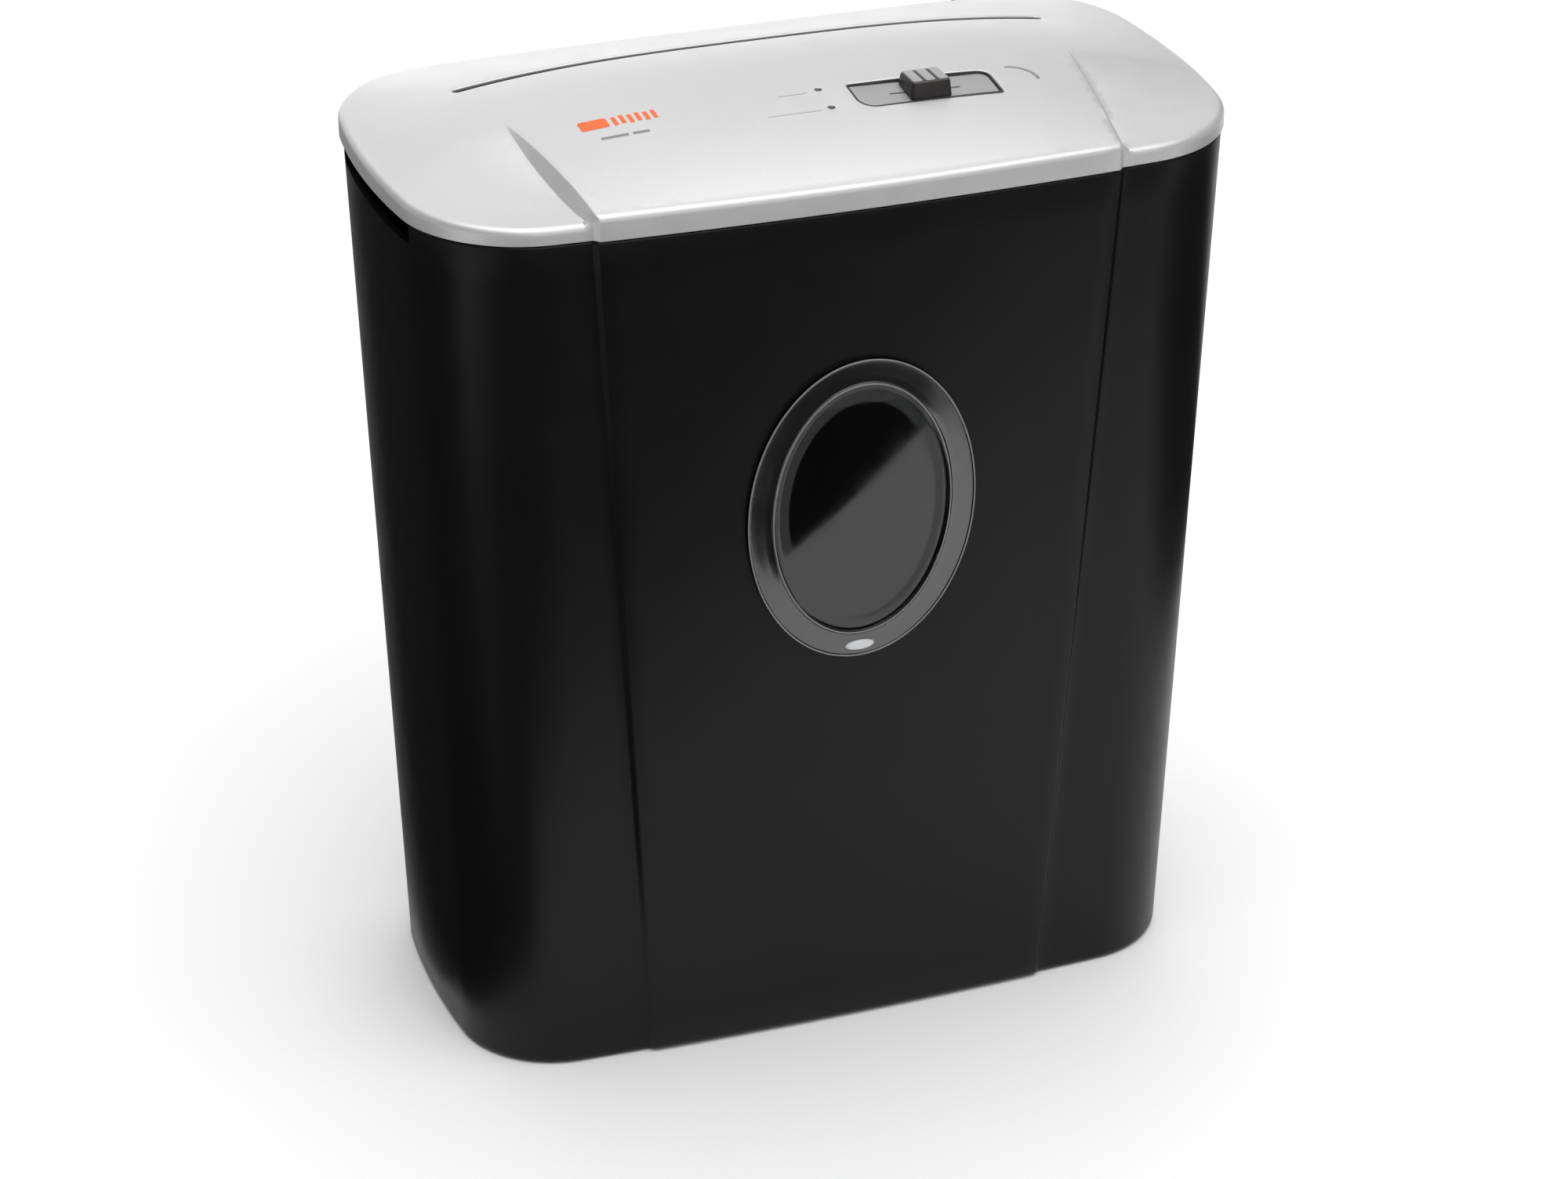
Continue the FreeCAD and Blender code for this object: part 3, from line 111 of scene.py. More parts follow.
def corner_centre(shape):
    """Centre of the corner arc that touches the front bow and the end arc from inside."""
    cx, cy = shape["x"] - shape["corner"], shape["y"] - shape["corner"]
    for _ in range(60):
        cx = shape["x"] - shape["end"] + math.sqrt((shape["end"] - shape["corner"]) ** 2 - cy ** 2)
        cy = shape["y"] - shape["bow"] + math.sqrt((shape["bow"] - shape["corner"]) ** 2 - cx ** 2)
    return cx, cy


def arc(cx, cy, radius, start, stop, count):
    """Points on an arc without its last one."""
    turns = [mix(start, stop, k / count) for k in range(count)]
    return [(cx + radius * math.cos(t), cy + radius * math.sin(t)) for t in turns]


def bow_depth(shape, x):
    """Distance of the front or back bow from the middle plane at x."""
    return math.sqrt(shape["bow"] ** 2 - x ** 2) - (shape["bow"] - shape["y"])


RAMP = [k / 6 for k in range(7)]
# steps along each stretch of an outline
END_STEPS, CORNER_STEPS, BACK_STEPS, WING_STEPS, PANEL_STEPS = 10, 18, 36, 5, 28


def ring(shape, step_x, proud):
    """Closed outline, anticlockwise from the right end; the middle of the front stands proud."""
    cx, cy = corner_centre(shape)
    end_turn = math.atan2(cy, cx - shape["x"] + shape["end"])
    bow_turn = math.atan2(cx, cy - shape["y"] + shape["bow"])
    right_angle = math.pi / 2
    points = arc(shape["x"] - shape["end"], 0, shape["end"], 0, end_turn, END_STEPS)
    points += arc(cx, cy, shape["corner"], end_turn, right_angle - bow_turn, CORNER_STEPS)
    points += arc(0, shape["y"] - shape["bow"], shape["bow"], right_angle - bow_turn,
                  right_angle + bow_turn, BACK_STEPS)
    points += arc(-cx, cy, shape["corner"], right_angle + bow_turn, math.pi - end_turn,
                  CORNER_STEPS)
    points += arc(shape["end"] - shape["x"], 0, shape["end"], math.pi - end_turn,
                  math.pi + end_turn, 2 * END_STEPS)
    points += arc(-cx, -cy, shape["corner"], math.pi + end_turn, 3 * right_angle - bow_turn,
                  CORNER_STEPS)
    tangent_x = shape["bow"] * math.sin(bow_turn)
    half_ramp = SEAM_HALF
    xs = [mix(-tangent_x, -step_x - half_ramp, k / WING_STEPS) for k in range(WING_STEPS)]
    xs += [-step_x - half_ramp + 2 * half_ramp * share for share in RAMP]
    xs += [mix(half_ramp - step_x, step_x - half_ramp, k / PANEL_STEPS)
           for k in range(1, PANEL_STEPS)]
    xs += [step_x - half_ramp + 2 * half_ramp * share for share in RAMP]
    xs += [mix(step_x + half_ramp, tangent_x, k / WING_STEPS) for k in range(1, WING_STEPS)]
    for x in xs:
        lift = proud * smooth((step_x + half_ramp - abs(x)) / (2 * half_ramp))
        points.append((x, -bow_depth(shape, x) - lift))
    points += arc(cx, -cy, shape["corner"], 3 * right_angle + bow_turn, 4 * right_angle - end_turn,
                  CORNER_STEPS)
    points += arc(shape["x"] - shape["end"], 0, shape["end"], -end_turn, 0, END_STEPS)
    return points


# ---- mesh helpers ----------------------------------------------------------

def make_mesh(name, points, faces, material, body, sharp=40.0):
    """A shaded mesh object from points in millimetres, riding on a body."""
    mesh = bpy.data.meshes.new(name)
    mesh.from_pydata([Vector(p) * MM for p in points], [], faces)
    mesh.validate()
    work = bmesh.new()
    work.from_mesh(mesh)
    bmesh.ops.remove_doubles(work, verts=work.verts, dist=1e-7)
    bmesh.ops.recalc_face_normals(work, faces=work.faces)
    work.to_mesh(mesh)
    work.free()
    mesh.shade_smooth()
    mesh.set_sharp_from_angle(angle=math.radians(sharp))
    mesh.materials.append(material)
    thing = bpy.data.objects.new(name, mesh)
    bpy.context.scene.collection.objects.link(thing)
    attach(thing, body)
    return thing


def bridge(count, first, second):
    """Quads between two closed rings of equal length."""
    return [(first + k, first + (k + 1) % count, second + (k + 1) % count, second + k)
            for k in range(count)]


def stack(rings, close_first=False, close_last=False):
    """Rings of points joined one to the next."""
    points, faces = [], []
    for k, loop in enumerate(rings):
        points += loop
        if k:
            faces += bridge(len(loop), (k - 1) * len(loop), k * len(loop))
    if close_first:
        faces.append(tuple(reversed(range(len(rings[0])))))
    if close_last:
        start = len(points) - len(rings[-1])
        faces.append(tuple(range(start, len(points))))
    return points, faces


def cut_with(thing, tools):
    """Take tool meshes out of a mesh for good."""
    for tool in tools:
        step = thing.modifiers.new("cut", "BOOLEAN")
        step.operation = "DIFFERENCE"
        step.solver = "EXACT"
        step.object = tool
    bpy.context.view_layer.update()
    done = thing.evaluated_get(bpy.context.evaluated_depsgraph_get())
    mesh = bpy.data.meshes.new_from_object(done)
    thing.modifiers.clear()
    thing.data = mesh
    for tool in tools:
        bpy.data.objects.remove(tool)
    mesh.shade_smooth()
    mesh.set_sharp_from_angle(angle=math.radians(32))


def loose_mesh(name, points, faces):
    """A plain closed mesh in millimetres, used as a cutting tool."""
    mesh = bpy.data.meshes.new(name)
    mesh.from_pydata([Vector(p) * MM for p in points], [], faces)
    work = bmesh.new()
    work.from_mesh(mesh)
    bmesh.ops.recalc_face_normals(work, faces=work.faces)
    work.to_mesh(mesh)
    work.free()
    thing = bpy.data.objects.new(name, mesh)
    bpy.context.scene.collection.objects.link(thing)
    return thing


def rounded_rectangle(cx, cy, half_x, half_y, radius, count=8):
    """Anticlockwise loop with rounded corners."""
    points = []
    for k, (sx, sy) in enumerate(((1, 1), (-1, 1), (-1, -1), (1, -1))):
        start = k * math.pi / 2
        loop = arc(cx + sx * (half_x - radius), cy + sy * (half_y - radius), radius, start,
                   start + math.pi / 2, count)
        loop.append((cx + sx * (half_x - radius) + radius * math.cos(start + math.pi / 2),
                     cy + sy * (half_y - radius) + radius * math.sin(start + math.pi / 2)))
        points += loop
    return points


def split_long(loop, longest):
    """Add points to the long sides of a closed loop."""
    out = []
    for k, here in enumerate(loop):
        there = loop[(k + 1) % len(loop)]
        parts = max(1, math.ceil(math.dist(here, there) / longest))
        out += [(mix(here[0], there[0], n / parts), mix(here[1], there[1], n / parts))
                for n in range(parts)]
    return out


# ---- materials -------------------------------------------------------------

class Nodes:
    """Short way to build one procedural material."""

    def __init__(self, name):
        self.material = bpy.data.materials.new(name)
        self.material.use_nodes = True
        self.tree = self.material.node_tree
        self.shader = self.tree.nodes["Principled BSDF"]
        self.where = self.add("ShaderNodeTexCoord").outputs["Object"]

    def add(self, kind, **inputs):
        node = self.tree.nodes.new(kind)
        for key, value in inputs.items():
            node.inputs[key.replace("_", " ")].default_value = value
        return node

    def link(self, source, target):
        self.tree.links.new(source, target)

    def set(self, **inputs):
        for key, value in inputs.items():
            self.shader.inputs[key.replace("_", " ")].default_value = value

    def noise(self, scale, detail=3.0, stretch=None):
        node = self.add("ShaderNodeTexNoise", Scale=scale, Detail=detail)
        source = self.where
        if stretch:
            mapping = self.add("ShaderNodeMapping", Scale=stretch)
            self.link(source, mapping.inputs["Vector"])
            source = mapping.outputs["Vector"]
        self.link(source, node.inputs["Vector"])
        return node.outputs["Fac"]

    def ramp(self, source, low, high, start=0.3, stop=0.7):
        """A grey or colour ramp between two values."""
        node = self.add("ShaderNodeValToRGB")
        for element, place, value in zip(node.color_ramp.elements, (start, stop), (low, high)):
            element.position = place
            colour = (value,) * 3 if isinstance(value, (int, float)) else tuple(value)
            element.color = (*colour, 1)
        self.link(source, node.inputs["Fac"])
        return node.outputs["Color"]

    def bump(self, layers):
        """Bump layers, each (height, strength, distance in metres), chained to the normal."""
        normal = None
        for height, strength, distance in layers:
            node = self.add("ShaderNodeBump", Strength=strength, Distance=distance)
            self.link(height, node.inputs["Height"])
            if normal is not None:
                self.link(normal, node.inputs["Normal"])
            normal = node.outputs["Normal"]
        self.link(normal, self.shader.inputs["Normal"])


def moulded(name, colour, rough, grain=0.25, spread=0.06, size=2600.0, tint=0.12, **more):
    """Moulded plastic: fine spark-eroded grain, slow gloss changes and faint colour drift."""
    mat = Nodes(name)
    broad = mat.noise(14.0, 4.0)
    mat.link(mat.ramp(broad, [c * (1 - tint) for c in colour], [c * (1 + tint) for c in colour]),
             mat.shader.inputs["Base Color"])
    smear = mat.noise(55.0, 5.0)
    mat.link(mat.ramp(smear, rough - spread, rough + spread), mat.shader.inputs["Roughness"])
    mat.bump([(mat.noise(size, 2.0), grain, 0.00004), (mat.noise(40.0, 2.0), 0.05, 0.0004)])
    mat.set(**more)
    return mat.material


def metal(name, colour, rough, spread=0.08, stretch=(1, 1, 1), scale=900.0, grain=0.2, **more):
    """Metal with drawn or ground marks and patchy oil."""
    mat = Nodes(name)
    marks = mat.noise(scale, 4.0, stretch)
    patches = mat.noise(60.0, 5.0)
    mat.link(mat.ramp(patches, [c * 0.85 for c in colour], [min(1, c * 1.1) for c in colour]),
             mat.shader.inputs["Base Color"])
    mat.link(mat.ramp(marks, rough - spread, rough + spread), mat.shader.inputs["Roughness"])
    mat.bump([(marks, grain, 0.00003)])
    mat.set(Metallic=1.0, **more)
    return mat.material


def silver_paint(name):
    """Silver lacquer on plastic: fine metallic flakes under a satin surface."""
    mat = Nodes(name)
    flakes = mat.add("ShaderNodeTexVoronoi", Scale=5200.0)
    mat.link(mat.where, flakes.inputs["Vector"])
    sparkle = mat.ramp(flakes.outputs["Distance"], (0.52, 0.515, 0.515), (0.62, 0.615, 0.615),
                       0.1, 0.7)
    mat.link(sparkle, mat.shader.inputs["Base Color"])
    mat.link(mat.ramp(mat.noise(70.0, 5.0), 0.36, 0.44), mat.shader.inputs["Roughness"])
    mat.bump([(mat.noise(3200.0, 2.0), 0.12, 0.00003), (mat.noise(35.0, 2.0), 0.04, 0.0004)])
    mat.set(Metallic=0.45, Coat_Weight=0.1, Coat_Roughness=0.25)
    return mat.material


def clear_plastic(name, colour, rough=0.03, weight=1.0):
    """Clear or tinted plastic with a faint waviness."""
    mat = Nodes(name)
    mat.link(mat.ramp(mat.noise(30.0, 3.0), [c * 0.96 for c in colour], colour),
             mat.shader.inputs["Base Color"])
    mat.link(mat.ramp(mat.noise(90.0, 5.0), rough, rough + 0.03), mat.shader.inputs["Roughness"])
    mat.bump([(mat.noise(60.0, 2.0), 0.04, 0.0003)])
    mat.set(Transmission_Weight=weight, IOR=1.5)
    return mat.material


def printed(name, colour, rough=0.5):
    """Pad-printed ink with a slightly uneven edge of gloss."""
    mat = Nodes(name)
    mat.link(mat.ramp(mat.noise(900.0, 3.0), [c * 0.9 for c in colour], colour),
             mat.shader.inputs["Base Color"])
    mat.link(mat.ramp(mat.noise(1200.0, 2.0), rough - 0.06, rough + 0.06),
             mat.shader.inputs["Roughness"])
    return mat.material


def windings(name):
    """Enamelled copper wire wound in close turns."""
    mat = Nodes(name)
    wave = mat.add("ShaderNodeTexWave", Scale=900.0, Distortion=0.4)
    mat.link(mat.where, wave.inputs["Vector"])
    mat.link(mat.ramp(wave.outputs["Fac"], (0.30, 0.10, 0.04), (0.72, 0.33, 0.15)),
             mat.shader.inputs["Base Color"])
    mat.bump([(wave.outputs["Fac"], 0.5, 0.0002)])
    mat.set(Metallic=0.8, Roughness=0.35)
    return mat.material


def make_materials():
    lathe = (1, 0.05, 0.05)
    return {
        "bin_plastic": moulded("bin_plastic", (0.0035, 0.0035, 0.0037), 0.36, grain=0.15,
                               spread=0.025, Specular_IOR_Level=0.22),
        "smoked_window": clear_plastic("smoked_window", (0.62, 0.63, 0.65)),
        "silver_plastic": silver_paint("silver_plastic"),
        "tray_plastic": moulded("tray_plastic", (0.30, 0.30, 0.305), 0.45),
        "dark_plastic": moulded("dark_plastic", (0.022, 0.022, 0.024), 0.48),
        "knob_plastic": moulded("knob_plastic", (0.016, 0.013, 0.012), 0.40),
        "light_lens": clear_plastic("light_lens", (0.10, 0.09, 0.09), 0.15, 0.4),
        "soft_rubber": moulded("soft_rubber", (0.02, 0.02, 0.02), 0.7),
        "zinc_steel": metal("zinc_steel", (0.62, 0.62, 0.58), 0.34),
        "cutter_steel": metal("cutter_steel", (0.40, 0.40, 0.41), 0.28, stretch=lathe),
        "spacer_nylon": moulded("spacer_nylon", (0.045, 0.045, 0.05), 0.55),
        "gear_nylon": moulded("gear_nylon", (0.72, 0.70, 0.62), 0.42, Subsurface_Weight=0.08),
        "brass_metal": metal("brass_metal", (0.66, 0.47, 0.22), 0.38),
        "motor_metal": metal("motor_metal", (0.46, 0.46, 0.45), 0.36, stretch=lathe),
        "switch_plastic": moulded("switch_plastic", (0.03, 0.03, 0.034), 0.5),
        "copper_wire": windings("copper_wire"),
        "spring_steel": metal("spring_steel", (0.5, 0.5, 0.5), 0.25),
        "board_green": moulded("board_green", (0.02, 0.13, 0.05), 0.35),
        "capacitor_can": moulded("capacitor_can", (0.03, 0.06, 0.18), 0.35),
        "terminal_plastic": moulded("terminal_plastic", (0.06, 0.26, 0.12), 0.45),
    }


def dress_nodes(materials):
    """Give every carried-over node the finish of its slot."""
    for entry in frame["record"]["subparts"]:
        thing = frame["nodes"][entry["node"]]
        thing.data.materials.clear()
        thing.data.materials.append(materials[entry["material_slot"]])
        thing.data.shade_smooth()
        thing.data.set_sharp_from_angle(angle=math.radians(30))


# ---- waste bin -------------------------------------------------------------

def bin_ring(height, inset=0.0, proud=PROUD):
    """Outline of the bin at a height, moved inwards by inset."""
    share = height / RIM_Z
    shape = blend_outline(FOOT, RIM, share, inset)
    step_x = mix(PANEL_FOOT_X, PANEL_RIM_X, share)
    return [(x, y + BIN_SHIFT, height) for x, y in ring(shape, step_x, proud)]


def make_bin(material):
    """Tapered bin with rounded foot and rim, a raised front panel and two grip notches."""
    foot_round, rim_round = 3.0, 0.7
    rings = []
    for k in range(7):
        turn = k / 6 * math.pi / 2
        inset = foot_round * (1 - math.sin(turn))
        share = 0.4 + 0.6 * k / 6
        rings.append(bin_ring(foot_round * (1 - math.cos(turn)), inset, PROUD * share))
    rings += [bin_ring(mix(foot_round, RIM_Z - rim_round, k / 24)) for k in range(1, 25)]
    for k in range(1, 4):
        turn = k / 3 * math.pi / 2
        height = RIM_Z - rim_round * (1 - math.sin(turn))
        rings.append(bin_ring(height, rim_round * (1 - math.cos(turn))))
    rings.append(bin_ring(RIM_Z, WALL - rim_round))
    rings.append(bin_ring(RIM_Z - rim_round, WALL))
    rings += [bin_ring(mix(RIM_Z - rim_round, 8.0, k / 10), WALL) for k in range(1, 11)]
    rings.append(bin_ring(4.5, WALL + 1.2))
    rings.append(bin_ring(3.2, WALL + 5))
    points, faces = stack(rings, close_first=True, close_last=True)
    shell = make_mesh("bin_shell", points, faces, material, "bin", 32)
    notch_half_y, notch_deep, notch_round = 42.0, 8.5, 3.0
    outline_yz = rounded_rectangle(0, RIM_Z + 10, notch_half_y, 10 + notch_deep, notch_round)
    far = RIM["x"] + 20
    points, faces = stack([[(-far, y, z) for y, z in outline_yz],
                           [(far, y, z) for y, z in outline_yz]], True, True)
    notch = loose_mesh("notch_tool", points, faces)
    hole = [(COLLAR_X * math.cos(t), WINDOW_Z + COLLAR_Z * math.sin(t))
            for t in [math.tau * k / 120 for k in range(120)]]
    points, faces = stack([[(x, -RIM["y"] - 20, z) for x, z in hole],
                           [(x, -FOOT["y"] + 20, z) for x, z in hole]], True, True)
    opening = loose_mesh("window_tool", points, faces)
    cut_with(shell, [notch, opening])
    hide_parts("waste_bin")
    rings = []
    for z, inset in ((275.0, 1.2), (276.2, 0.0), (312.0, 0.0), (316.0, 1.2)):
        loop = rounded_rectangle(146.4, -30.0, 3.7 - inset, 3.0 - inset / 2, 0.8, 3)
        rings.append([(x, y, z) for x, y in loop])
    points, faces = stack(rings, True, True)
    make_mesh("bin_rib", points, faces, material, "bin", 35)


# ---- window ----------------------------------------------------------------

WINDOW_Z = (WINDOW_LOW.z + WINDOW_HIGH.z) / 2
FLANGE_X = WINDOW_HIGH.x
FLANGE_Z = (WINDOW_HIGH.z - WINDOW_LOW.z) / 2
COLLAR_X, COLLAR_Z = FLANGE_X - 5.1, FLANGE_Z - 5.6


def panel_front(x, z):
    """Y of the raised front panel at a point."""
    share = z / RIM_Z
    shape = blend_outline(FOOT, RIM, share)
    return BIN_SHIFT - bow_depth(shape, x) - PROUD


def make_window(material, lip_material, highlight_line_material, face_material):
    """Clear oval window: bevelled flange, raised inner bead and a slightly domed lens."""
    lens_inset, middle_inset, middle_half = 12.5, 43.0, 0.3
    # profile from the flange's edge inwards: (inset from the edge, height above the panel)
    front = [(0.0, 0.05), (0.0, 1.0), (0.12, 1.45), (0.45, 1.6), (0.8, 1.45), (1.1, 1.25),
             (1.6, 1.2), (4.0, 1.2), (6.5, 1.2), (8.8, 1.2), (9.2, 1.35), (9.5, 1.6), (9.8, 1.65),
             (10.1, 1.5), (10.4, 1.15), (10.8, 1.0), (lens_inset, 1.0)]
    lens = [(mix(lens_inset, middle_inset, k / 14), 1.0 + 0.25 * math.sin(math.pi / 2 * k / 14))
            for k in range(1, 15)]
    front += lens
    back = [(0.0, 0.05), (5.6, 0.02), (5.9, -2.0), (5.9, -4.2), (7.6, -4.2), (7.6, -0.5),
            (lens_inset, -0.4)]
    back += [(inset, height - 1.7) for inset, height in lens]

    def loop(inset, height):
        points = []
        half_x, half_z = FLANGE_X - inset, FLANGE_Z - inset
        if inset > lens_inset:
            shrink = (middle_inset - inset) / (middle_inset - lens_inset)
            half_x = (FLANGE_X - lens_inset) * shrink + middle_half
            half_z = (FLANGE_Z - lens_inset) * shrink + middle_half
        for k in range(144):
            turn = math.tau * k / 144
            x, z = half_x * math.cos(turn), WINDOW_Z + half_z * math.sin(turn)
            points.append((x, panel_front(x, z) - height, z))
        return points

    rings = [loop(*entry) for entry in reversed(back)] + [loop(*entry) for entry in front[1:]]
    points, faces = stack(rings, close_first=True, close_last=True)
    window = make_mesh("window_lens", points, faces, material, "bin", 30)
    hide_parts("bin_window")
    # the flat of the flange has a glossier face
    face = [(1.2, 1.0), (1.2, 1.26), (1.7, 1.23), (4.0, 1.23), (6.5, 1.23), (8.7, 1.23),
            (9.1, 1.36), (9.1, 1.0), (1.2, 1.0)]
    points, faces = stack([loop(*entry) for entry in face])
    make_mesh("window_flange_face", points, faces, face_material, "bin", 30)
    # two thin light grey outlines on the flange's edge and the inner bead: painted highlights along
    # them
    for name, inset, height in (("window_edge_line", 0.5, 1.5), ("window_bead_line", 9.8, 1.55)):
        around = [loop(inset + 0.3 * math.cos(t), height + 0.22 * math.sin(t))
                  for t in [math.tau * k / 8 for k in range(9)]]
        points, faces = stack(around)
        make_mesh(name, points, faces, highlight_line_material, "bin", 60)
    # finger lip at the bottom of the flange: a real tab whose light grey is a painted highlight
    rings = []
    for share, height in ((1.0, 1.0), (0.97, 1.5), (0.8, 2.1), (0.5, 2.5), (0.15, 2.6)):
        loop = []
        for k in range(40):
            turn = math.tau * k / 40
            x = 5.6 * share * math.cos(turn)
            z = WINDOW_LOW.z + 4.6 + 2.0 * share * math.sin(turn)
            loop.append((x, panel_front(x, z) - height, z))
        rings.append(loop)
    points, faces = stack(rings, True, True)
    make_mesh("window_lip", points, faces, lip_material, "bin", 50)


# ---- cover -----------------------------------------------------------------

def circle_through(first, second, third):
    """Centre and radius of the circle through three points."""
    (ax, ay), (bx, by), (cx, cy) = first, second, third
    d = 2 * (ax * (by - cy) + bx * (cy - ay) + cx * (ay - by))
    a2, b2, c2 = ax * ax + ay * ay, bx * bx + by * by, cx * cx + cy * cy
    ux = (a2 * (by - cy) + b2 * (cy - ay) + c2 * (ay - by)) / d
    uy = (a2 * (cx - bx) + b2 * (ax - cx) + c2 * (bx - ax)) / d
    return ux, uy, math.dist((ux, uy), first)


FRONT_Y = LID_SHIFT - LID["y"] - PROUD
STEP_CIRCLE = circle_through((STEP_BACK_X, SHOULDER_Y), (STEP_MID_X, (SHOULDER_Y + FRONT_Y) / 2),
                             (STEP_FRONT_X, FRONT_Y))


def step_line(y):
    """X of the middle of the step face on the right side."""
    ux, uy, radius = STEP_CIRCLE
    return ux + math.sqrt(radius ** 2 - (y - uy) ** 2)


def step_share(y):
    """0 at the shoulder line, 1 at the cover's front edge."""
    return min(max((SHOULDER_Y - y) / (SHOULDER_Y - FRONT_Y), 0.0), 1.0)


def step_width(y):
    """Plan width of the sloped step face: widest half way, narrow at both ends."""
    share = step_share(y)
    return 0.15 + 1.9 * share + 2.4 * math.sin(math.pi * share) ** 0.8


def crown_z(x, y):
    """Height of the domed middle of the cover."""
    fall_x = 1 - abs(x / LID["x"]) ** 3
    reach = CROWN_BACK if y > CROWN_Y else CROWN_FRONT
    return LIP_TOP + CROWN * fall_x * (1 - ((y - CROWN_Y) / reach) ** 2)


def wing_z(x, y):
    """Height of the sunk corners beside the middle."""
    rise = crown_z(x, SHOULDER_Y) - LIP_TOP
    share = step_share(y)
    # a slow start, so that no crease shows along the shoulder
    share = 1.12 * share ** 2 / (share + 0.12)
    return LIP_TOP - WING_SINK * share + rise * (1 - share) ** 1.8


# (place across the step face, share of its drop): a straight slope with softened edges
STEP_PROFILE = [(0.0, 0.0), (0.12, 0.05), (0.88, 0.95), (1.0, 1.0)]


def step_drop(across):
    """Share of the step's drop at a place across its face, from 0 at the top edge to 1."""
    for (a, low), (b, high) in zip(STEP_PROFILE, STEP_PROFILE[1:]):
        if across <= b:
            return mix(low, high, max(0.0, (across - a) / (b - a)))
    return 1.0


def top_z(x, y):
    """Height of the cover's top surface."""
    if y >= SHOULDER_Y:
        return crown_z(x, y)
    width = step_width(y)
    across = (abs(x) - step_line(y)) / width + 0.5
    return mix(crown_z(x, y), wing_z(x, y), step_drop(across))


def inside(loop, x, y):
    """True where a point lies inside a closed loop."""
    hit = False
    for k, (ax, ay) in enumerate(loop):
        bx, by = loop[k - 1]
        if (ay > y) != (by > y) and x < (bx - ax) * (y - ay) / (by - ay) + ax:
            hit = not hit
    return hit


def triangulate(outer, holes, lines, spacing):
    """Plan triangles between an outer loop and holes, following the given lines."""
    points, edges = [], []

    def add_path(path, closed):
        start = len(points)
        points.extend(Vector(p) for p in path)
        last = len(path) if closed else len(path) - 1
        edges.extend((start + k, start + (k + 1) % len(path)) for k in range(last))

    add_path(outer, True)
    for hole in holes:
        add_path(hole, True)
    for line in lines:
        add_path(line, False)
    low_x, high_x = min(p[0] for p in outer), max(p[0] for p in outer)
    low_y, high_y = min(p[1] for p in outer), max(p[1] for p in outer)
    taken = list(points)
    cells = {}
    for p in taken:
        cells.setdefault((int(p.x // spacing), int(p.y // spacing)), []).append(p)

    def crowded(x, y):
        i, j = int(x // spacing), int(y // spacing)
        near = [p for di in (-1, 0, 1) for dj in (-1, 0, 1)
                for p in cells.get((i + di, j + dj), ())]
        return any((p.x - x) ** 2 + (p.y - y) ** 2 < (0.55 * spacing) ** 2 for p in near)

    for i in range(int((high_x - low_x) / spacing) + 1):
        for j in range(int((high_y - low_y) / spacing) + 1):
            x = low_x + (i + 0.5 * (j % 2)) * spacing
            y = low_y + j * spacing
            if crowded(x, y) or not inside(outer, x, y) or any(inside(h, x, y) for h in holes):
                continue
            points.append(Vector((x, y)))
    out = delaunay_2d_cdt(points, edges, [], 0, 1e-5)
    faces = []
    for face in out[2]:
        cx = sum(out[0][k].x for k in face) / 3
        cy = sum(out[0][k].y for k in face) / 3
        if inside(outer, cx, cy) and not any(inside(h, cx, cy) for h in holes):
            faces.append(tuple(face))
    return [tuple(p) for p in out[0]], faces


def step_lines():
    """Lines along both step faces, in plan: their edges and where the edges start to soften."""
    lines = []
    front = FRONT_Y + PROUD + LIP_ROUND + 0.15
    for side in (-1, 1):
        for place, _ in STEP_PROFILE:
            ys = [mix(SHOULDER_Y, front, k / 48) for k in range(49)]
            lines.append([(side * (step_line(y) + (place - 0.5) * step_width(y)), y) for y in ys])
    return lines


def lid_outline(inset):
    shape = {key: value - inset for key, value in LID.items()}
    return [(x, y + LID_SHIFT) for x, y in ring(shape, STEP_FRONT_X, PROUD)]


def slot_points(out):
    """Paper slot grown by out."""
    half_x, half_y, radius = SLOT_HALF_X + out, SLOT_HALF_Y + out, 2.2 + out
    steps = 76
    back = [(mix(half_x - radius, radius - half_x, k / steps), SLOT_Y + half_y)
            for k in range(steps)]
    left = arc(radius - half_x, SLOT_Y + half_y - radius, radius, math.pi / 2, math.pi, 6)
    left += arc(radius - half_x, SLOT_Y - half_y + radius, radius, math.pi, 1.5 * math.pi, 6)
    front = [(-x, SLOT_Y - half_y) for x, _ in back]
    right = arc(half_x - radius, SLOT_Y - half_y + radius, radius, -math.pi / 2, 0, 6)
    right += arc(half_x - radius, SLOT_Y + half_y - radius, radius, 0, math.pi / 2, 6)
    return back + left + front + right


TRAY_X, TRAY_Y = (TRAY_LOW.x + TRAY_HIGH.x) / 2, (TRAY_LOW.y + TRAY_HIGH.y) / 2
TRAY_HALF_X, TRAY_HALF_Y = (TRAY_HIGH.x - TRAY_LOW.x) / 2, (TRAY_HIGH.y - TRAY_LOW.y) / 2
# right back, left back, left front, right front
TRAY_CORNERS = (4.5, 1.6, 6.5, 1.6)
TRAY_DEPTH, TRAY_TILT = 1.2, 0.025
PLATE_THICK = 0.5
KNOB_TRAVEL = 12.0
STEM_HALF_X, STEM_HALF_Y = 1.1, 0.35
SLIT_HALF_Y = 0.5


def tray_loop(out):
    """Switch recess grown by out; its left front corner is the roundest."""
    points = []
    for k, ((sx, sy), corner) in enumerate(zip(((1, 1), (-1, 1), (-1, -1), (1, -1)), TRAY_CORNERS)):
        radius = corner + out
        cx = TRAY_X + sx * (TRAY_HALF_X + out - radius)
        cy = TRAY_Y + sy * (TRAY_HALF_Y + out - radius)
        points += arc(cx, cy, radius, k * math.pi / 2, (k + 1) * math.pi / 2, 9)
        points.append((cx + radius * math.cos((k + 1) * math.pi / 2),
                       cy + radius * math.sin((k + 1) * math.pi / 2)))
    return split_long(points, 3.0)


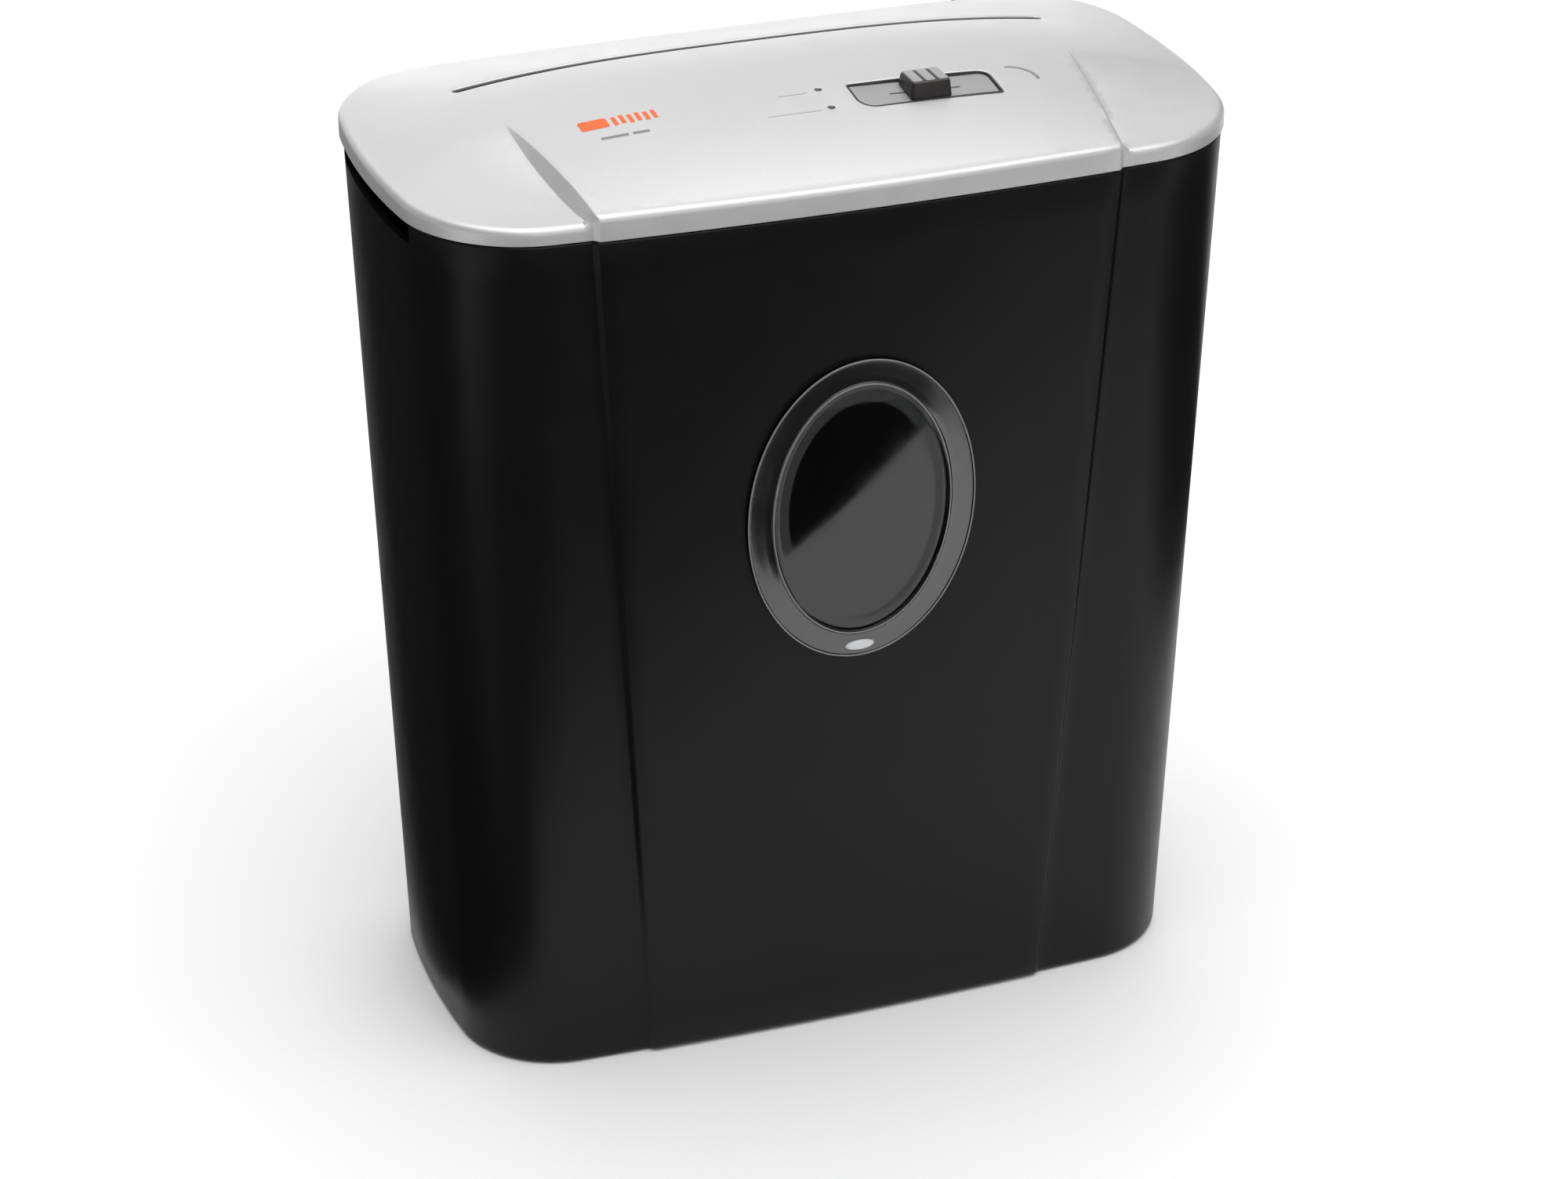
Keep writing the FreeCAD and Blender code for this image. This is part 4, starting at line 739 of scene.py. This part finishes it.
def tray_floor(x, y):
    """Height of the recess floor: it leans with the crown and sinks a little to the right."""
    return crown_z(TRAY_X, y) - TRAY_DEPTH - TRAY_TILT * (x - TRAY_X)


def drawn_back(out):
    """The recess's outline grown by out, its front drawn back more to the right to widen a
    painted-shade gap.
    """
    points = []
    for x, y in tray_loop(out):
        across = (x - TRAY_X) / TRAY_HALF_X / 2 + 0.5
        ahead = max(0.0, (TRAY_Y - y) / TRAY_HALF_Y)
        points.append((x, y + 1.0 * across * ahead ** 2))
    return points


LIGHT_LOW, LIGHT_HIGH = box_mm("status_lights")
LIGHT_X, LIGHT_R = (LIGHT_LOW.x + LIGHT_HIGH.x) / 2, (LIGHT_HIGH.x - LIGHT_LOW.x) / 2
LIGHT_YS = (LIGHT_LOW.y + LIGHT_R, LIGHT_HIGH.y - LIGHT_R)


def light_loop(y):
    return lambda out: arc(LIGHT_X, y, LIGHT_R + out, 0, math.tau, 20)


def fall(loop_at, radius):
    """Rings that round an edge of the top surface over, from the surface to the edge's wall."""
    heights = [top_z(x, y) for x, y in loop_at(radius)]
    rings = []
    for k in range(7):
        turn = k / 6 * math.pi / 2
        drop = radius * (1 - math.cos(turn))
        loop = loop_at(radius * (1 - math.sin(turn)))
        rings.append([(x, y, z - drop) for (x, y), z in zip(loop, heights)])
    return rings


def at_height(loop, heights):
    return [(x, y, z) for (x, y), z in zip(loop, heights)]


def make_cover(material):
    """Domed silver cover with stepped wings, paper slot, switch recess and light holes."""
    holes = [(slot_points, OPENING_ROUND), (tray_loop, OPENING_ROUND)]
    holes += [(light_loop(y), LIGHT_HOLE_ROUND) for y in LIGHT_YS]
    outer = lid_outline(LIP_ROUND)
    plan, faces = triangulate(outer, [loop(radius) for loop, radius in holes], step_lines(), GRID)
    points = [(x, y, top_z(x, y)) for x, y in plan]
    under = len(points)
    points += [(x, y, z - SKIN) for x, y, z in points]
    faces += [tuple(under + k for k in reversed(face)) for face in faces]

    def add_rings(rings):
        more_points, more_faces = stack(rings)
        base = len(points)
        points.extend(more_points)
        faces.extend(tuple(base + k for k in face) for face in more_faces)

    for loop, radius in holes:
        rings = fall(loop, radius)
        low = [top_z(x, y) - SKIN for x, y in loop(radius)]
        add_rings(rings + [at_height(loop(0.0), low), at_height(loop(radius), low)])
    rings = fall(lid_outline, LIP_ROUND)
    count = len(outer)
    for inset, height in ((0.0, LIP_LOW + 2.0), (0.0, LIP_LOW + 0.4), (0.4, LIP_LOW),
                          (LIP_ROUND, LIP_LOW)):
        rings.append(at_height(lid_outline(inset), [height] * count))
    rings.append(at_height(outer, [top_z(x, y) - SKIN for x, y in outer]))
    add_rings(rings)
    cover = make_mesh("cover_shell", points, faces, material, "head", 30)
    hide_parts("top_cover")


def make_throat(material):
    """Dark mouth of the feed chute, just inside the paper slot."""
    rings = []
    # (growth of the slot's outline, depth below the cover's surface)
    for out, drop in ((-0.1, 9.0), (-0.1, 0.9), (-0.3, 0.65), (-0.9, 0.65), (-1.1, 0.9),
                      (-1.1, 9.0), (-0.1, 9.0)):
        loop = slot_points(out)
        rings.append([(x, y, top_z(x, y) - drop) for x, y in loop])
    points, faces = stack(rings)
    make_mesh("slot_throat", points, faces, material, "head", 40)


def make_tray(material, dark):
    """Grey plate with a slit for the knob's stem in the recess; a dark rim round it paints shade
    into the gaps.
    """
    loop = drawn_back(-0.9)
    plan, faces = triangulate(loop, [], [], GRID)
    points = [(x, y, tray_floor(x, y)) for x, y in plan]
    under = len(points)
    points += [(x, y, z - PLATE_THICK) for x, y, z in points]
    faces += [tuple(under + k for k in reversed(face)) for face in faces]
    sides, side_faces = stack([[(x, y, tray_floor(x, y)) for x, y in loop],
                               [(x, y, tray_floor(x, y) - PLATE_THICK) for x, y in loop]])
    base = len(points)
    points += sides
    faces += [tuple(base + k for k in face) for face in side_faces]
    plate = make_mesh("recess_plate", points, faces, material, "head", 35)
    slit = rounded_rectangle(TRAY_X, TRAY_Y, KNOB_TRAVEL + STEM_HALF_X + 0.3, SLIT_HALF_Y, 0.1,
                             3)
    points, faces = stack([[(x, y, z) for x, y in slit] for z in (TRAY_LOW.z - 3, TRAY_HIGH.z + 3)],
                          True, True)
    cut_with(plate, [loose_mesh("slit_tool", points, faces)])
    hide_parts("switch_tray")
    # the rim: a lip under the cover's surface, then a ledge under the plate's edge; its dark colour
    # is painted shade in the gaps
    rings = []
    for edge, lift in ((tray_loop(-0.1), -2.4), (tray_loop(-0.1), -0.3), (tray_loop(-0.2), -0.15),
                       (drawn_back(-0.6), -0.15), (drawn_back(-0.7), -0.3)):
        rings.append([(x, y, top_z(x, y) + lift) for x, y in edge])
    for edge, drop in ((drawn_back(-0.75), 0.4), (drawn_back(-0.95), 0.9), (drawn_back(-2.0), 0.9),
                       (drawn_back(-2.0), 1.9), (tray_loop(-0.1), 1.9)):
        rings.append([(x, y, min(tray_floor(x, y) - drop, top_z(x, y) - 0.8)) for x, y in edge])
    points, faces = stack(rings)
    make_mesh("recess_rim", points, faces, dark, "head", 40)


def make_lights(material):
    """Two small domed indicator lenses."""
    for name, y in zip(("light_front", "light_back"), LIGHT_YS):
        rings = []
        # (radius, height above the cover's surface)
        for radius, lift in ((LIGHT_R - 0.05, -4.0), (LIGHT_R - 0.05, -0.25), (1.0, 0.05),
                             (0.6, 0.16), (0.1, 0.2)):
            loop = arc(LIGHT_X, y, radius, 0, math.tau, 24)
            rings.append([(px, py, crown_z(LIGHT_X, y) + lift) for px, py in loop])
        points, faces = stack(rings, True, True)
        lens = make_mesh(name, points, faces, material, "head", 50)
        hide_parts("status_lights")


# ---- prints on the cover ---------------------------------------------------

def make_print(name, shapes, material, spacing=1.2, lift=0.05):
    """Flat ink shapes that follow the cover's surface."""
    points, faces = [], []
    for shape in shapes:
        plan, triangles = triangulate(split_long(shape, spacing), [], [], spacing)
        base = len(points)
        points += [(x, y, top_z(x, y) + lift) for x, y in plan]
        faces += [tuple(base + k for k in face) for face in triangles]
    return make_mesh(name, points, faces, material, "head", 60)


def bar(x, y, wide, tall):
    """Rectangle from its lower left corner."""
    return [(x, y), (x + wide, y), (x + wide, y + tall), (x, y + tall)]


def make_prints():
    """A plain sheet-and-strips mark, lines beside the lights and an arc beside the knob."""
    orange = printed("orange_ink", (0.80, 0.13, 0.015))
    grey = printed("grey_ink", (0.22, 0.22, 0.23))
    pale = printed("pale_ink", (0.42, 0.42, 0.43))
    sheet_and_strips = [rounded_rectangle(-79.5, -25.6, 5.2, 3.4, 1.0, 4)]
    sheet_and_strips += [bar(-72.6 + 2.9 * k, -28.8 + 0.5 * (k % 2), 1.6, 6.0) for k in range(6)]
    mark = make_print("sheet_mark", sheet_and_strips, orange, 1.0)
    line = make_print("mark_line", [bar(-80, -37.0, 10, 1.6), bar(-68.5, -37.0, 6, 1.6)], grey, 1.0)
    rows = [bar(-12, -26.6, 11, 0.5), bar(-20, -39.6, 20, 0.5)]
    labels = make_print("light_labels", rows, pale, 1.0)
    turns = [mix(math.pi / 2, -0.18, k / 12) for k in range(13)]
    icon_x, icon_y = 76, -31.5
    swoop = [(icon_x + 9.6 * math.cos(t), icon_y + 9.6 * math.sin(t)) for t in turns]
    swoop += [(icon_x + 8.3 * math.cos(t), icon_y + 8.5 * math.sin(t)) for t in reversed(turns)]
    swirl = make_print("reverse_icon", [swoop], grey, 0.8)


# ---- knob ------------------------------------------------------------------

def make_knob(material, pad_material):
    """Slide knob: dark block with three lighter finger pads and grooves from front to back."""
    mid_x, mid_y = (KNOB_LOW.x + KNOB_HIGH.x) / 2, (KNOB_LOW.y + KNOB_HIGH.y) / 2
    half_x, half_y = (KNOB_HIGH.x - KNOB_LOW.x) / 2, (KNOB_HIGH.y - KNOB_LOW.y) / 2
    top = KNOB_HIGH.z - 0.35
    rings = []
    # (grow, height above the floor, or below the top where negative)
    for grow, height in ((-1.2, 0.45), (-0.25, 0.45), (0.0, 0.7), (-0.5, -1.2), (-0.75, -0.4),
                         (-1.3, -0.05), (-2.2, 0.0)):
        loop = split_long(rounded_rectangle(mid_x, mid_y, half_x + grow, half_y + grow,
                                            1.6 + grow / 2, 6), 9.0)
        rings.append([(x, y, top + height if height <= 0 else tray_floor(x, y) + height)
                      for x, y in loop])
    points, faces = stack(rings, True, True)
    knob = make_mesh("slide_knob", points, faces, material, "knob", 30)
    stem = rounded_rectangle(mid_x, mid_y, STEM_HALF_X, STEM_HALF_Y, 0.1, 3)
    points, faces = stack([[(x, y, z) for x, y in stem]
                           for z in (KNOB_LOW.z, tray_floor(mid_x, mid_y) + 0.8)], True, True)
    post = make_mesh("slide_knob_stem", points, faces, material, "knob")
    # the strip under the plate that closes the slit
    strip_half_x, strip_half_y = 12.7, 1.6
    strip = split_long(rounded_rectangle(mid_x, mid_y, strip_half_x, strip_half_y, 0.4, 3), 1.0)
    points, faces = stack([[(x, y, tray_floor(mid_x, y) - drop) for x, y in strip]
                           for drop in (2.5, 2.1)], True, True)
    slide = make_mesh("slide_knob_strip", points, faces, pad_material, "knob")
    pads, faces = [], []
    wide, gap = 3.7, 1.15
    for k in (-1, 0, 1):
        rings = []
        for inset, lift in ((0.0, -0.5), (0.0, 0.1), (0.25, 0.3), (0.6, 0.35)):
            loop = rounded_rectangle(mid_x + k * (wide + gap), mid_y, wide / 2 - inset,
                                     half_y - 1.5 - inset, 0.8 - inset / 2, 4)
            rings.append([(x, y, top + lift) for x, y in loop])
        points, more = stack(rings, True, True)
        faces += [tuple(len(pads) + n for n in face) for face in more]
        pads += points
    ridges = make_mesh("slide_knob_pads", pads, faces, pad_material, "knob", 40)
    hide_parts("mode_knob")


# ---- stage, light, camera --------------------------------------------------

AZIMUTH, ELEVATION = -20.1, 27.05
DISTANCE, LENS_MM = 1.7155, 100.0
AIM_RIGHT, AIM_UP = 0.0002, 0.1308


def view_axes():
    """Right, up and backward directions of the camera."""
    a, e = math.radians(AZIMUTH), math.radians(ELEVATION)
    back = Vector((math.sin(a) * math.cos(e), -math.cos(a) * math.cos(e), math.sin(e)))
    right = (-back).cross(Vector((0, 0, 1))).normalized()
    return right, right.cross(-back), back


def make_camera():
    """Camera at the fitted angle and distance."""
    data = bpy.data.cameras.new("camera")
    data.lens = LENS_MM
    data.clip_start = 0.05
    camera = bpy.data.objects.new("camera", data)
    bpy.context.scene.collection.objects.link(camera)
    right, up, back = view_axes()
    camera.location = right * AIM_RIGHT + up * AIM_UP + back * DISTANCE
    camera.rotation_mode = "QUATERNION"
    camera.rotation_quaternion = (-back).to_track_quat("-Z", "Y")
    bpy.context.scene.camera = camera


def make_card(name, corners, height, material, reflected_only):
    """A level stage card from plan corners in metres; some cards show in reflections only."""
    mesh = bpy.data.meshes.new(name)
    points = [Vector((x, y, height)) for x, y in corners]
    mesh.from_pydata(points, [], [tuple(range(len(corners)))])
    mesh.materials.append(material)
    card = bpy.data.objects.new(name, mesh)
    bpy.context.scene.collection.objects.link(card)
    if reflected_only:
        card.visible_camera = False
        card.visible_diffuse = False
        card.visible_shadow = False


# black cards for the reflections: one in front, with its near edge slanting away to the right,
# one behind to the left for the left end, one that fills the gap between them at the corner,
# and one for the right end
CARD_HEIGHT = 0.004
DARK_CARDS = {
    "dark_card": [(-1.8, -2.8), (2.2, -2.8), (1.1, -1.064), (-0.30, -0.162), (-0.55, -0.10)],
    "dark_card_left": [(-1.8, 1.8), (-1.8, -0.17), (-0.30, -0.125), (-0.165, -0.07),
                       (-0.148, 0.0), (-0.148, 1.8)],
    "dark_card_corner": [(-0.30, -0.125), (-0.30, -0.165), (-0.21, -0.21), (-0.155, -0.13),
                         (-0.165, -0.07), (-0.20, -0.06)],
    "dark_card_right": [(0.36, -0.12), (0.5, -0.5), (2.5, -0.9), (2.5, 0.6), (0.36, 0.3)],
}
FLOOR_HALF = 6


def make_stage():
    """White floor, and black cards on it that only reflections on the object show."""
    floor = Nodes("floor_white")
    floor.link(floor.ramp(floor.noise(3.0, 3.0), 0.96, 0.99), floor.shader.inputs["Base Color"])
    floor.link(floor.ramp(floor.noise(20.0, 3.0), 0.45, 0.5), floor.shader.inputs["Roughness"])
    floor.set(Specular_IOR_Level=0.0)
    corners = [(-FLOOR_HALF, -FLOOR_HALF), (FLOOR_HALF, -FLOOR_HALF), (FLOOR_HALF, FLOOR_HALF),
               (-FLOOR_HALF, FLOOR_HALF)]
    make_card("floor", corners, 0, floor.material, False)
    black = Nodes("black_card")
    black.set(Roughness=0.9)
    black.link(black.ramp(black.noise(5.0), 0.004, 0.006), black.shader.inputs["Base Color"])
    for name, corners in DARK_CARDS.items():
        make_card(name, corners, CARD_HEIGHT, black.material, True)


def make_light(name, place, aim, size, power, tall=None):
    """A soft rectangular lamp aimed at a point; places and sizes are metres."""
    data = bpy.data.lights.new(name, "AREA")
    data.energy = power
    data.shape = "RECTANGLE"
    data.size = size
    data.size_y = tall or size
    light = bpy.data.objects.new(name, data)
    bpy.context.scene.collection.objects.link(light)
    light.location = place
    light.rotation_mode = "QUATERNION"
    light.rotation_quaternion = (Vector(aim) - Vector(place)).to_track_quat("-Z", "Y")


def make_studio():
    """White surroundings that fall off to the left and right, and two soft lights."""
    world = bpy.data.worlds.new("studio")
    world.use_nodes = True
    tree = world.node_tree
    shade = tree.nodes["Background"]
    shade.inputs["Color"].default_value = (1, 1, 1, 1)
    place = tree.nodes.new("ShaderNodeTexCoord")
    split = tree.nodes.new("ShaderNodeSeparateXYZ")
    side = tree.nodes.new("ShaderNodeMath")
    side.operation = "SUBTRACT"
    side.inputs[1].default_value = 0.08
    away = tree.nodes.new("ShaderNodeMath")
    away.operation = "ABSOLUTE"
    level = tree.nodes.new("ShaderNodeMapRange")
    level.interpolation_type = "SMOOTHSTEP"
    for name, value in (("From Min", 0.05), ("From Max", 0.65), ("To Min", 1.05), ("To Max", 0.2)):
        level.inputs[name].default_value = value
    tree.links.new(place.outputs["Generated"], split.inputs["Vector"])
    tree.links.new(split.outputs["X"], side.inputs[0])
    tree.links.new(side.outputs["Value"], away.inputs[0])
    tree.links.new(away.outputs["Value"], level.inputs["Value"])
    tree.links.new(level.outputs["Result"], shade.inputs["Strength"])
    bpy.context.scene.world = world
    make_light("overhead", (0.1, -0.3, 2.6), (0, 0, 0.2), 3.0, 58)
    make_light("back_soft", (0.3, 2.6, 0.5), (0, 0, 0.3), 2.6, 6, 0.7)


# ---- build -----------------------------------------------------------------

materials = make_materials()
dress_nodes(materials)
make_bin(materials["bin_plastic"])
# the finger lip's light grey is a painted highlight
make_window(materials["smoked_window"], moulded("lip_painted_highlight", (0.62, 0.63, 0.64), 0.22),
            # the light grey lines on the flange's edge and bead are painted highlights
            moulded("bead_highlight_paint", (0.20, 0.20, 0.205), 0.25),
            moulded("flange_gloss", (0.006, 0.006, 0.006), 0.12, 0.05, 0.03, IOR=2.0))
make_cover(materials["silver_plastic"])
make_throat(materials["dark_plastic"])
make_tray(materials["tray_plastic"], materials["dark_plastic"])
make_lights(materials["light_lens"])
make_prints()
make_knob(materials["knob_plastic"], materials["tray_plastic"])
make_camera()
make_stage()
make_studio()
bpy.context.scene.view_settings.view_transform = "Standard"
